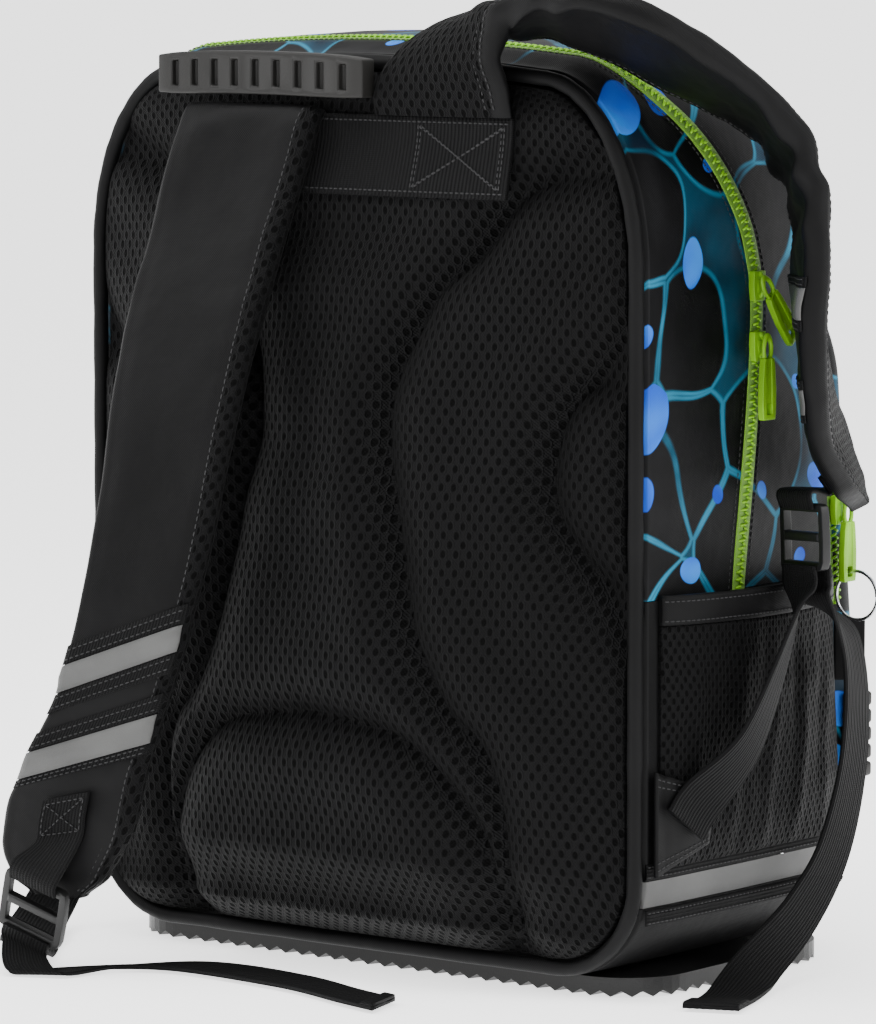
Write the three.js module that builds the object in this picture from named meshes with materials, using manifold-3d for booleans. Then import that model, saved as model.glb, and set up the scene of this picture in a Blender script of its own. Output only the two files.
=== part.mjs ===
// School rucksack, millimetres, +Z up. The origin is the middle of the foot's underside.
// The wearer's back is toward -Y and the front pocket toward +Y.
import * as THREE from 'three';
import { mergeVertices } from 'three/addons/utils/BufferGeometryUtils.js';
import Module from 'manifold-3d';

const wasm = await Module();
wasm.setup();

// Body
const halfWidth = 155;
const depth = 164;
const height = 408;
const crown = 5;
const dome = 9;
const sideSwell = 2;
const topDepthShare = 0.79;
const cornerWide = 55;
const cornerHigh = 86;
const footCorner = 45;
const frontCorner = 12;
const wall = 2.4;
const gap = 0.3;

// Foot
const plateHeight = 8.5;
const toothPitch = 9.5;
const toothDepth = 2.6;
const toothRun = 11;
const bootTop = 42;
const bandHeight = 12;

// Padded back
const panelEdge = 5;
const panelBelly = 43;
const pipingRadius = 3.4;
const panelClearance = 1;
const grooveDepth = 8;
const grooveHalfWidth = 10;

// Zips
const zipWidth = 10;
const sliderLength = 13;
const sliderWidth = 9;
const sliderHeight = 5;
const pullerLength = 36;
const pullerWidth = 11;
const pullerThickness = 3;

// Pockets
const pocketDepth = 27;
const pocketHalfWidth = 147;
const pocketFloor = 58;
const pocketRoof = 320;
const frontZipFoot = 155;
const sidePocketFloor = 59;
const sidePocketRoof = 178;
const sidePocketSag = 14;
const hemHeight = 13;
const meshThickness = 1.6;

// Harness
const anchorHalfWidth = 92;
const anchorFoot = 347;
const anchorHeight = 35;
const bandSeat = 1.1;
const webbingWidth = 25;
const webbingThickness = 1.8;
const strapWidth = 70;
const strapThickness = 13;
const stripeThickness = 0.6;
const gripLength = 117;
const gripHeight = 19;
const gripThickness = 9;
const gripSlots = 9;
const lockWidth = 34;
const lockHeight = 30;
const lockThickness = 4;
const barWidth = 4;
const ringRadius = 11;
const ringWire = 1.6;

const yBack = -depth / 2;
const bodyFloor = plateHeight + gap;

function material(color, roughness, metalness = 0) {
  return new THREE.MeshStandardMaterial({ color, roughness, metalness });
}

const blackCloth = material(0x1b1b1c, 0.8);
const satinCloth = material(0x242425, 0.6);
const meshCloth = material(0x202020, 0.9);
const printCloth = material(0x17313b, 0.7);
const limeTape = material(0x8ccb1e, 0.6);
const limePlastic = material(0x9bd61c, 0.4);
const reflective = material(0x8f8f8c, 0.5);
const darkPlastic = material(0x2c2b2a, 0.5);
const gripRubber = material(0x3a3937, 0.6);
const blackWebbing = material(0x19191a, 0.8);
const steel = material(0xb9bcc0, 0.3, 1);

const ransel = new THREE.Group();

function add(name, geometry, look) {
  const mesh = new THREE.Mesh(geometry, look);
  mesh.name = name;
  ransel.add(mesh);
  return mesh;
}

// Shape helpers

function volumeOf(geometry) {
  const position = geometry.attributes.position;
  const index = geometry.index.array;
  const [a, b, c] = [new THREE.Vector3(), new THREE.Vector3(), new THREE.Vector3()];
  let sum = 0;
  for (let i = 0; i < index.length; i += 3) {
    a.fromBufferAttribute(position, index[i]);
    b.fromBufferAttribute(position, index[i + 1]);
    c.fromBufferAttribute(position, index[i + 2]);
    sum += a.dot(b.cross(c));
  }
  return sum / 6;
}

function faceted(points, triangles) {
  const geometry = new THREE.BufferGeometry();
  geometry.setAttribute('position', new THREE.Float32BufferAttribute(points.flatMap((p) => [p.x, p.y, p.z]), 3));
  geometry.setIndex(triangles.flat());
  if (volumeOf(geometry) < 0) {
    geometry.setIndex(triangles.map(([a, b, c]) => [a, c, b]).flat());
  }
  geometry.computeVertexNormals();
  return geometry;
}

// Joins rings of equal length; open lofts get a fan at each end.
function loft(rings, closed = false) {
  const count = rings[0].length;
  const points = rings.flat();
  const triangles = [];
  const last = closed ? rings.length : rings.length - 1;
  for (let r = 0; r < last; r++) {
    const here = r * count;
    const next = ((r + 1) % rings.length) * count;
    for (let i = 0; i < count; i++) {
      const j = (i + 1) % count;
      triangles.push([here + i, here + j, next + j], [here + i, next + j, next + i]);
    }
  }
  if (!closed) {
    for (const end of [0, rings.length - 1]) {
      const centre = rings[end].reduce((sum, p) => sum.add(p), new THREE.Vector3()).divideScalar(count);
      points.push(centre);
      for (let i = 0; i < count; i++) {
        const pair = [end * count + i, end * count + (i + 1) % count];
        triangles.push(end === 0 ? [points.length - 1, pair[1], pair[0]] : [points.length - 1, pair[0], pair[1]]);
      }
    }
  }
  return faceted(points, triangles);
}

// A sheet between two faces: surface(u, v, side) with u and v from 0 to 1 and side 0 inside, 1 outside.
function sheet(nu, nv, surface) {
  const points = [];
  const triangles = [];
  const row = nu + 1;
  const face = row * (nv + 1);
  for (const side of [0, 1]) {
    for (let j = 0; j <= nv; j++) {
      for (let i = 0; i <= nu; i++) {
        points.push(surface(i / nu, j / nv, side));
      }
    }
  }
  for (let j = 0; j < nv; j++) {
    for (let i = 0; i < nu; i++) {
      const a = j * row + i;
      const b = a + row;
      triangles.push([a, b, a + 1], [a + 1, b, b + 1]);
      triangles.push([face + a, face + a + 1, face + b], [face + a + 1, face + b + 1, face + b]);
    }
  }
  const edge = [];
  for (let i = 0; i < nu; i++) edge.push(i);
  for (let j = 0; j < nv; j++) edge.push(j * row + nu);
  for (let i = nu; i > 0; i--) edge.push(nv * row + i);
  for (let j = nv; j > 0; j--) edge.push(j * row);
  edge.forEach((a, k) => {
    const b = edge[(k + 1) % edge.length];
    triangles.push([a, b, face + b], [a, face + b, face + a]);
  });
  return faceted(points, triangles);
}

function solid(geometry) {
  const bare = geometry.clone();
  bare.deleteAttribute('normal');
  bare.deleteAttribute('uv');
  const merged = mergeVertices(bare, 1e-4);
  return new wasm.Manifold(new wasm.Mesh({
    numProp: 3,
    vertProperties: new Float32Array(merged.attributes.position.array),
    triVerts: new Uint32Array(merged.index.array),
  }));
}

function surfaceOf(manifold) {
  const mesh = manifold.getMesh();
  const geometry = new THREE.BufferGeometry();
  geometry.setAttribute('position', new THREE.BufferAttribute(new Float32Array(mesh.vertProperties), 3));
  geometry.setIndex(new THREE.BufferAttribute(new Uint32Array(mesh.triVerts), 1));
  geometry.computeVertexNormals();
  return geometry;
}

function box(x0, x1, y0, y1, z0, z1) {
  const geometry = new THREE.BoxGeometry(x1 - x0, y1 - y0, z1 - z0);
  geometry.translate((x0 + x1) / 2, (y0 + y1) / 2, (z0 + z1) / 2);
  return geometry;
}

// Value at a share along a short table of [share, value] rows.
function lookUp(table, share) {
  if (share <= table[0][0]) return table[0][1];
  for (let i = 1; i < table.length; i++) {
    const [s0, v0] = table[i - 1];
    const [s1, v1] = table[i];
    if (share <= s1) {
      const t = (share - s0) / (s1 - s0);
      return v0 + (v1 - v0) * t * t * (3 - 2 * t);
    }
  }
  return table[table.length - 1][1];
}

// Body

// The body is deeper at the foot than at the top: the shell's depth at a height.
function depthAt(z) {
  return depth * (1 - (1 - topDepthShare) * z / height);
}

function lean(geometry) {
  const position = geometry.attributes.position;
  for (let i = 0; i < position.count; i++) {
    const share = (position.getY(i) - yBack) / depth;
    position.setY(i, yBack + share * depthAt(position.getZ(i)));
  }
  geometry.computeVertexNormals();
  return geometry;
}

function cornerPoints(cx, cz, rx, rz, from, to, steps) {
  const points = [];
  for (let k = 0; k <= steps; k++) {
    const angle = from + (to - from) * k / steps;
    points.push([cx + rx * Math.cos(angle), cz + rz * Math.sin(angle)]);
  }
  return points;
}

// Rounded outline seen from the back, as [x, z] pairs, right half from foot to top and then mirrored.
function outline({ half, floor, top, wide, high, foot, rise }) {
  const right = [[half * 0.45, floor]];
  right.push(...cornerPoints(half - foot, floor + foot, foot, foot, -Math.PI / 2, 0, 5));
  const sideFrom = floor + foot;
  const sideTo = top - high;
  for (const share of [0.25, 0.5, 0.75]) {
    right.push([half, sideFrom + (sideTo - sideFrom) * share]);
  }
  right.push(...cornerPoints(half - wide, top - high, wide, high, 0, Math.PI / 2, 7));
  right.push([(half - wide) * 0.5, top + rise * 0.75]);
  const left = right.map(([x, z]) => [-x, z]).reverse();
  return [[0, floor], ...right, [0, top + rise], ...left];
}

function bodyOutline(inset, swell = 0, lift = 0) {
  return outline({
    half: halfWidth + swell - inset,
    floor: bodyFloor + inset,
    top: height - crown + lift - inset,
    wide: cornerWide - Math.min(inset, 20),
    high: cornerHigh - inset,
    foot: footCorner - inset,
    rise: crown,
  });
}

// Depth share, swell share, inset as a share of the front corner.
const bodySections = [
  [0, 0, 0],
  [0.13, 0.65, 0],
  [0.45, 1, 0],
  [0.8, 0.7, 0],
  [0.93, 0.3, 0.12],
  [0.985, 0, 0.5],
  [1, 0, 1.3],
];

function bodyLoft(inset, start) {
  const rings = bodySections.map(([share, swell, corner], k) => {
    const y = k === 0 ? yBack + start : yBack + share * depth - inset * Math.min(1, share / 0.9);
    return bodyOutline(inset + corner * frontCorner, swell * sideSwell, swell * dome)
      .map(([x, z]) => new THREE.Vector3(x, y, z));
  });
  return loft(rings);
}

// Main zip seen from the side: depth share, height share.
const mainZipRoute = [
  [0.425, 0.404],
  [0.445, 0.46],
  [0.515, 0.6],
  [0.56, 0.735],
  [0.53, 0.8],
  [0.45, 0.86],
  [0.34, 0.92],
  [0.23, 0.965],
  [0.165, 1.0],
  [0.15, 1.06],
];

function zipSlab(width, shorten) {
  const points = mainZipRoute.map(([d, h]) => new THREE.Vector3(0, yBack + d * depth, h * height));
  const curve = new THREE.CatmullRomCurve3(points);
  const reach = halfWidth + sideSwell + 20;
  const rings = [];
  const steps = 16;
  for (let k = 0; k <= steps; k++) {
    const t = shorten + (1 - shorten) * k / steps;
    const centre = curve.getPoint(t);
    const tangent = curve.getTangent(t);
    const across = new THREE.Vector3(0, tangent.z, -tangent.y).multiplyScalar(width / 2);
    const near = centre.clone().sub(across);
    const far = centre.clone().add(across);
    rings.push([
      new THREE.Vector3(-reach, near.y, near.z),
      new THREE.Vector3(reach, near.y, near.z),
      new THREE.Vector3(reach, far.y, far.z),
      new THREE.Vector3(-reach, far.y, far.z),
    ]);
  }
  return solid(loft(rings));
}

function buildBody() {
  const whole = solid(bodyLoft(0, 0)).subtract(solid(bodyLoft(wall, -20)));
  const reach = halfWidth * 2;
  const slice = (z0, z1) => solid(box(-reach, reach, yBack - reach, yBack + depth + reach, z0, z1));
  const boot = whole.intersect(slice(0, bootTop));
  const band = whole.intersect(slice(bootTop + gap, bootTop + bandHeight));
  const upper = whole.intersect(slice(bootTop + bandHeight + gap, height * 1.2));
  add('body_shell', lean(surfaceOf(upper.subtract(zipSlab(zipWidth, 0)))), printCloth);
  add('main_zip_tape', lean(surfaceOf(upper.intersect(zipSlab(zipWidth - 2 * gap, 0.003)))), limeTape);
  add('boot', lean(surfaceOf(boot)), blackCloth);
  add('reflective_band', lean(surfaceOf(band)), reflective);
}

// Front pocket: share of the pocket's depth, inset in mm shares of the front corner.
const pocketSections = [
  [0, 0],
  [0.35, -0.15],
  [0.62, 0],
  [0.84, 0.6],
  [0.96, 1.6],
  [1, 3.2],
];

function pocketLoft(inset, start) {
  const face = yBack + depth + gap;
  const rings = pocketSections.map(([share, corner], k) => {
    const edge = inset + corner * frontCorner;
    const y = k === 0 ? face + start : face + share * pocketDepth - inset * share;
    return outline({
      half: pocketHalfWidth - edge,
      floor: pocketFloor + edge,
      top: pocketRoof - crown - edge,
      wide: Math.max(cornerWide * 0.8 - edge, 6),
      high: Math.max(cornerHigh * 0.65 - edge, 8),
      foot: Math.max(footCorner * 0.9 - edge, 4),
      rise: crown,
    }).map(([x, z]) => new THREE.Vector3(x, y, z));
  });
  return loft(rings);
}

function buildFrontPocket() {
  const whole = solid(pocketLoft(0, 0)).subtract(solid(pocketLoft(wall, -20)));
  const reach = halfWidth * 2;
  const face = yBack + depth + gap;
  const cut = (from, to, foot) => solid(box(-reach, reach, from, to, foot, height * 1.2));
  const open = cut(face - reach, face + zipWidth, frontZipFoot);
  const tape = cut(face - reach, face + zipWidth - gap, frontZipFoot + gap);
  add('front_pocket', lean(surfaceOf(whole.subtract(open))), printCloth);
  add('front_zip_tape', lean(surfaceOf(whole.intersect(tape))), limeTape);
}

// Foot plate with a toothed rim; the tips and the flat middle stand on the floor.
function buildBasePlate() {
  const halfX = halfWidth - 6;
  const halfY = depth / 2 - 5;
  const corner = footCorner * 0.7;
  const straightX = 2 * (halfX - corner);
  const straightY = 2 * (halfY - corner);
  const arc = corner * Math.PI / 2;
  const perimeter = 2 * (straightX + straightY) + 4 * arc;
  const teeth = Math.round(perimeter / toothPitch);
  const rim = (s, inset) => {
    const spans = [
      [straightX, 1, 0, halfX - corner, -halfY + inset],
      [straightY, 0, 1, halfX - inset, halfY - corner],
      [straightX, -1, 0, -(halfX - corner), halfY - inset],
      [straightY, 0, -1, -halfX + inset, -(halfY - corner)],
    ];
    let rest = s;
    for (let k = 0; k < 4; k++) {
      const [length, dx, dy, endX, endY] = spans[k];
      if (rest <= length) {
        return [endX - dx * (length - rest), endY - dy * (length - rest)];
      }
      rest -= length;
      if (rest <= arc) {
        const angle = -Math.PI / 2 + k * Math.PI / 2 + rest / corner;
        const cx = (halfX - corner) * [1, 1, -1, -1][k];
        const cy = (halfY - corner) * [-1, 1, 1, -1][k];
        return [cx + (corner - inset) * Math.cos(angle), cy + (corner - inset) * Math.sin(angle)];
      }
      rest -= arc;
    }
    return rim(0, inset);
  };
  const ring = (inset, levels) => {
    const points = [];
    for (let k = 0; k < 2 * teeth; k++) {
      const [x, y] = rim(perimeter * k / (2 * teeth), inset);
      points.push(new THREE.Vector3(x, y, levels[k % 2]));
    }
    return points;
  };
  const rings = [
    ring(0, [plateHeight, plateHeight]),
    ring(0, [0, toothDepth]),
    ring(toothRun, [0, 0]),
  ];
  add('base_plate', loft(rings), darkPlastic);
}

// Padded back

// Height share of the back, bulge share of the belly.
const bellyRows = [
  [0.03, 0],
  [0.075, 0.5],
  [0.15, 0.9],
  [0.25, 1],
  [0.37, 0.98],
  [0.5, 0.87],
  [0.61, 0.74],
  [0.735, 0.57],
  [0.83, 0.36],
  [0.93, 0.16],
  [0.985, 0],
];

// Grooves on the right half: x as a share of the half width, z as a share of the height.
const waistGroove = [
  [0.98, 0.907],
  [0.7, 0.87],
  [0.58, 0.843],
  [0.49, 0.79],
  [0.37, 0.747],
  [0.3, 0.7],
  [0.245, 0.647],
  [0.235, 0.588],
  [0.28, 0.517],
  [0.32, 0.444],
  [0.37, 0.373],
  [0.46, 0.306],
  [0.56, 0.267],
  [0.61, 0.194],
  [0.62, 0.06],
];
const flankGroove = [
  [1, 0.706],
  [0.91, 0.674],
  [0.79, 0.637],
  [0.74, 0.576],
  [0.755, 0.52],
  [0.84, 0.466],
  [0.94, 0.424],
  [1, 0.385],
];
const lumbarGroove = [
  [0, 0.294],
  [0.3, 0.275],
  [0.49, 0.214],
  [0.58, 0.14],
  [0.58, 0.05],
];

const panelInset = 2 * pipingRadius + panelClearance;

function panelHalf() {
  return halfWidth - panelInset;
}

function panelHalfAt(z) {
  const inset = panelInset;
  const half = panelHalf();
  const foot = footCorner - inset;
  const low = bodyFloor + inset + foot - z;
  if (low > 0) return half - foot + Math.sqrt(Math.max(foot * foot - low * low, 0));
  const high = cornerHigh - inset;
  const wide = cornerWide - inset;
  const up = z - (height - crown - inset - high);
  if (up > 0) return half - wide + wide * Math.sqrt(Math.max(1 - (up / high) ** 2, 0));
  return half;
}

function distanceTo(route, x, z) {
  let best = Infinity;
  for (let i = 1; i < route.length; i++) {
    const [ax, az] = [route[i - 1][0] * halfWidth, route[i - 1][1] * height];
    const [bx, bz] = [route[i][0] * halfWidth, route[i][1] * height];
    const length2 = (bx - ax) ** 2 + (bz - az) ** 2;
    const t = Math.min(1, Math.max(0, ((x - ax) * (bx - ax) + (z - az) * (bz - az)) / length2));
    best = Math.min(best, Math.hypot(x - ax - t * (bx - ax), z - az - t * (bz - az)));
  }
  return best;
}

// How far the padded face stands out of the back plane.
function reliefAt(x, z) {
  const side = Math.min(1, Math.abs(x) / panelHalf());
  const belly = panelBelly * lookUp(bellyRows, z / height) * (1 - side ** 2.4);
  const near = Math.min(...[waistGroove, flankGroove, lumbarGroove].map((g) => distanceTo(g, Math.abs(x), z)));
  const groove = grooveDepth * Math.exp(-((near / grooveHalfWidth) ** 2));
  return Math.max(panelEdge + belly - groove, 2);
}

// Without grooves: what lies on top bridges them.
function bellyAt(x, z) {
  const side = Math.min(1, Math.abs(x) / panelHalf());
  return panelEdge + panelBelly * lookUp(bellyRows, z / height) * (1 - side ** 2.4);
}

function buildBackPanel() {
  const floor = bodyFloor + panelInset;
  const top = height - crown - panelInset;
  const back = yBack - gap;
  const [across, up] = [24, 30];
  const points = [];
  const triangles = [];
  for (let j = 0; j <= up; j++) {
    const v = j / up;
    const share = 0.35 * (0.5 - 0.5 * Math.cos(Math.PI * v)) + 0.65 * v;
    for (let i = 0; i <= across; i++) {
      const z = floor + (top - floor) * share;
      const x = (2 * i / across - 1) * panelHalfAt(z);
      const rise = crown * v ** 4 * Math.max(0, 1 - (x / (halfWidth - cornerWide)) ** 2);
      points.push(new THREE.Vector3(x, back - reliefAt(x, z), z + rise));
    }
  }
  for (let j = 0; j < up; j++) {
    for (let i = 0; i < across; i++) {
      const a = j * (across + 1) + i;
      const b = a + across + 1;
      triangles.push([a, a + 1, b], [a + 1, b + 1, b]);
    }
  }
  const edge = [];
  for (let i = 0; i < across; i++) edge.push(i);
  for (let j = 0; j < up; j++) edge.push(j * (across + 1) + across);
  for (let i = across; i > 0; i--) edge.push(up * (across + 1) + i);
  for (let j = up; j > 0; j--) edge.push(j * (across + 1));
  const first = points.length;
  for (const a of edge) points.push(new THREE.Vector3(points[a].x, back, points[a].z));
  const middle = points.length;
  points.push(new THREE.Vector3(0, back, (floor + top) / 2));
  edge.forEach((a, k) => {
    const next = (k + 1) % edge.length;
    triangles.push([edge[next], a, first + k], [edge[next], first + k, first + next]);
    triangles.push([first + next, first + k, middle]);
  });
  add('back_panel', faceted(points, triangles), meshCloth);
}

function tubeRing(centre, tangent, radius, sides) {
  const side = new THREE.Vector3(0, 1, 0);
  const out = new THREE.Vector3().crossVectors(tangent, side).normalize();
  const points = [];
  for (let k = 0; k < sides; k++) {
    const angle = 2 * Math.PI * k / sides;
    points.push(centre.clone()
      .addScaledVector(out, radius * Math.cos(angle))
      .addScaledVector(side, radius * Math.sin(angle)));
  }
  return points;
}

function buildPiping() {
  const route = bodyOutline(pipingRadius).map(([x, z]) => (
    new THREE.Vector3(x, yBack - gap - pipingRadius, z)
  ));
  const count = route.length;
  const rings = route.map((centre, i) => {
    const tangent = route[(i + 1) % count].clone().sub(route[(i + count - 1) % count]).normalize();
    return tubeRing(centre, tangent, pipingRadius, 8);
  });
  add('panel_piping', loft(rings, true), blackCloth);
}

// Pockets on the sides

function sideFace(share) {
  const rows = bodySections.map(([s, swell, corner]) => [s, swell * sideSwell - corner * frontCorner]);
  for (let i = 1; i < rows.length; i++) {
    if (share <= rows[i][0]) {
      const t = (share - rows[i - 1][0]) / (rows[i][0] - rows[i - 1][0]);
      return halfWidth + rows[i - 1][1] + (rows[i][1] - rows[i - 1][1]) * t;
    }
  }
  return halfWidth;
}

const sidePocketFrom = 0.05;
const sidePocketTo = 0.92;

function sidePocketOffset(share, z) {
  const u = (share - sidePocketFrom) / (sidePocketTo - sidePocketFrom);
  const v = (z - sidePocketFloor) / (sidePocketRoof - sidePocketFloor);
  if (u <= 0 || u >= 1 || v <= 0) return 0;
  return sidePocketSag * Math.sin(Math.PI * u) ** 0.7 * Math.min(1, v * 1.6) ** 0.6;
}

function onSide(hand, share, z, out) {
  return new THREE.Vector3(hand * (sideFace(share) + out), yBack + share * depthAt(z), z);
}

function buildSidePocket(hand, word) {
  const hemFloor = sidePocketRoof - hemHeight;
  const strip = (from, to, thickness, rows) => sheet(14, rows, (u, v, side) => {
    const share = sidePocketFrom + (sidePocketTo - sidePocketFrom) * u;
    const z = from + (to - from) * v;
    return onSide(hand, share, z, gap + sidePocketOffset(share, z) + side * thickness);
  });
  add(`side_pocket_${word}`, strip(sidePocketFloor, hemFloor - gap, meshThickness, 6), meshCloth);
  add(`pocket_hem_${word}`, strip(hemFloor, sidePocketRoof, meshThickness * 1.4, 1), blackWebbing);
}

// Fabric wing in the foot's back corner, over the pocket's edge.
const wingReach = 0.21;

function buildWing(hand, word) {
  const floor = bootTop + bandHeight + 2;
  const top = floor + 46;
  const wing = sheet(5, 4, (u, v, side) => {
    const share = 0.01 + wingReach * u;
    const middle = (floor + top) / 2;
    const half = (top - floor) / 2 * (1 - 0.5 * u);
    const z = middle + (2 * v - 1) * half;
    const out = sidePocketOffset(share, z) + meshThickness * 1.4 + 2 * gap + side * webbingThickness;
    return onSide(hand, share, z, out);
  });
  add(`wing_${word}`, wing, blackCloth);
}

// Ribbons: straps and webbing

function acrossOf(turn, tilt) {
  const t = THREE.MathUtils.degToRad(turn);
  const e = THREE.MathUtils.degToRad(tilt);
  return new THREE.Vector3(Math.cos(t) * Math.cos(e), Math.sin(t) * Math.cos(e), Math.sin(e));
}

// Rows of x, y, z in mm, turn and tilt of the width in degrees, width share, thickness share.
function ribbonFrames(rows, steps) {
  const centres = new THREE.CatmullRomCurve3(rows.map(([x, y, z]) => new THREE.Vector3(x, y, z)), false, 'catmullrom', 0.5);
  const turns = new THREE.CatmullRomCurve3(rows.map((r) => new THREE.Vector3(r[3], r[4], 0)), false, 'catmullrom', 0.3);
  const sizes = new THREE.CatmullRomCurve3(
    rows.map((r) => new THREE.Vector3(r[5] ?? 1, r[6] ?? 1, 0)),
    false,
    'catmullrom',
    0.2,
  );
  const frames = [];
  for (let k = 0; k <= steps; k++) {
    const t = k / steps;
    const centre = centres.getPoint(t);
    const along = centres.getTangent(t);
    const turn = turns.getPoint(t);
    const size = sizes.getPoint(t);
    const across = acrossOf(turn.x, turn.y);
    const out = new THREE.Vector3().crossVectors(across, along).normalize();
    frames.push({ centre, across, out, width: size.x, thick: size.y });
  }
  return frames;
}

function ribbon(rows, width, thickness, steps) {
  const rings = ribbonFrames(rows, steps).map((f) => {
    const a = width * f.width / 2;
    const b = thickness * f.thick / 2;
    const profile = [
      [-a + 0.7 * b, -b], [a - 0.7 * b, -b], [a, -0.4 * b], [a, 0.4 * b],
      [a - 0.7 * b, b], [-a + 0.7 * b, b], [-a, 0.4 * b], [-a, -0.4 * b],
    ];
    return profile.map(([p, q]) => f.centre.clone().addScaledVector(f.across, p).addScaledVector(f.out, q));
  });
  return loft(rings);
}

// x share of the half width, y share of the depth from the back plane, z share of the height.
function fromShares(rows) {
  return rows.map(([x, y, z, ...rest]) => [x * halfWidth, yBack + y * depth, z * height, ...rest]);
}

// Worn-side strap hanging off the back: x, y, z, turn, tilt, width, thickness.
const leftStrapRows = fromShares([
  [-0.285, -0.128, 0.94, 3, 0, 1.06, 0.7],
  [-0.29, -0.155, 0.922, 4, 1, 1.06, 1],
  [-0.315, -0.208, 0.85, 5, 2, 1.05, 1],
  [-0.33, -0.27, 0.78, 5, 4, 1.03, 1],
  [-0.34, -0.335, 0.709, 7, 6, 1.02, 1],
  [-0.345, -0.39, 0.639, 9, 10, 0.98, 1],
  [-0.352, -0.45, 0.54, 10, 16, 0.95, 1],
  [-0.367, -0.505, 0.441, 11, 20, 0.95, 1],
  [-0.411, -0.534, 0.364, 12, 20, 0.95, 1],
  [-0.426, -0.546, 0.336, 12, 20, 0.96, 1],
  [-0.507, -0.558, 0.268, 11, 18, 1.04, 1],
  [-0.536, -0.564, 0.237, 11, 17, 1.05, 1],
  [-0.574, -0.567, 0.205, 10, 14, 1.05, 1],
  [-0.605, -0.567, 0.155, 8, 9, 1, 1],
  [-0.64, -0.563, 0.11, 8, 3, 0.75, 0.9],
  [-0.65, -0.56, 0.085, 8, 0, 0.4, 0.7],
]);

// Strap thrown over the top and down the right side.
const rightStrapRows = fromShares([
  [0.355, -0.083, 0.938, 2, 0, 1.04, 0.25],
  [0.357, -0.098, 0.96, 2, 1, 1.03, 0.5],
  [0.385, -0.118, 0.998, -8, 4, 0.98, 0.8],
  [0.49, -0.115, 1.035, -28, 8, 0.95, 1],
  [0.66, -0.085, 1.048, -45, 12, 0.95, 1],
  [0.85, -0.075, 1.043, -50, 17, 0.96, 1],
  [1, 0, 1.018, -54, 22, 1, 1],
  [1.085, 0.14, 0.985, -55, 21, 1, 1],
  [1.145, 0.28, 0.95, -51, 14, 1, 1],
  [1.2, 0.37, 0.905, -48, 8, 1, 1],
  [1.235, 0.405, 0.85, -49, 4, 1, 1],
  [1.24, 0.42, 0.78, -51, 3, 1, 1],
  [1.225, 0.44, 0.71, -54, 0, 1, 1],
  [1.215, 0.49, 0.642, -58, 0, 1, 1],
  [1.205, 0.56, 0.588, -62, 0, 0.98, 1],
  [1.2, 0.65, 0.542, -60, 0, 0.8, 0.9],
  [1.195, 0.72, 0.515, -56, 0, 0.4, 0.7],
]);

// The right strap's root comes out of the anchor band's upper edge.
rightStrapRows[0][1] = yBack - gap - bellyAt(rightStrapRows[0][0], anchorFoot + anchorHeight) - bandSeat - webbingThickness;
rightStrapRows[0][2] = anchorFoot + anchorHeight + gap;

// A skin on the strap's outer face between two shares of its rows.
function strapStripe(rows, from, to, face) {
  const frames = ribbonFrames(rows, 240);
  return sheet(4, 4, (u, v, side) => {
    const f = frames[Math.round(240 * (from + (to - from) * v))];
    const half = strapWidth * f.width / 2 - strapThickness * 0.4;
    const out = face * (strapThickness * f.thick / 2 + 2.5 * gap + side * stripeThickness);
    return f.centre.clone().addScaledVector(f.across, (2 * u - 1) * half).addScaledVector(f.out, out);
  });
}

function buildStraps() {
  add('strap_left', ribbon(leftStrapRows, strapWidth, strapThickness, 30), satinCloth);
  add('strap_right', ribbon(rightStrapRows, strapWidth, strapThickness, 36), satinCloth);
  const rows = leftStrapRows.length - 1;
  add('stripe_left_upper', strapStripe(leftStrapRows, 8 / rows, 9 / rows, -1), reflective);
  add('stripe_left_lower', strapStripe(leftStrapRows, 10 / rows, 11 / rows, -1), reflective);
  const rightLast = rightStrapRows.length - 1;
  add('stripe_right_upper', strapStripe(rightStrapRows, 11.3 / rightLast, 11.75 / rightLast, -1), reflective);
  add('stripe_right_lower', strapStripe(rightStrapRows, 12.8 / rightLast, 13.24 / rightLast, -1), reflective);
}

function buildAnchorBand() {
  const band = sheet(16, 4, (u, v, side) => {
    const x = (2 * u - 1) * anchorHalfWidth;
    const z = anchorFoot + anchorHeight * v;
    const y = yBack - gap - bellyAt(x, z) - bandSeat - side * webbingThickness;
    return new THREE.Vector3(x, y, z);
  });
  add('anchor_band', band, blackWebbing);
}

// Moulded haul grip on two webbing legs sewn into the top seam.
const gripMiddle = [-0.26, -0.14, 0.979];

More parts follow.
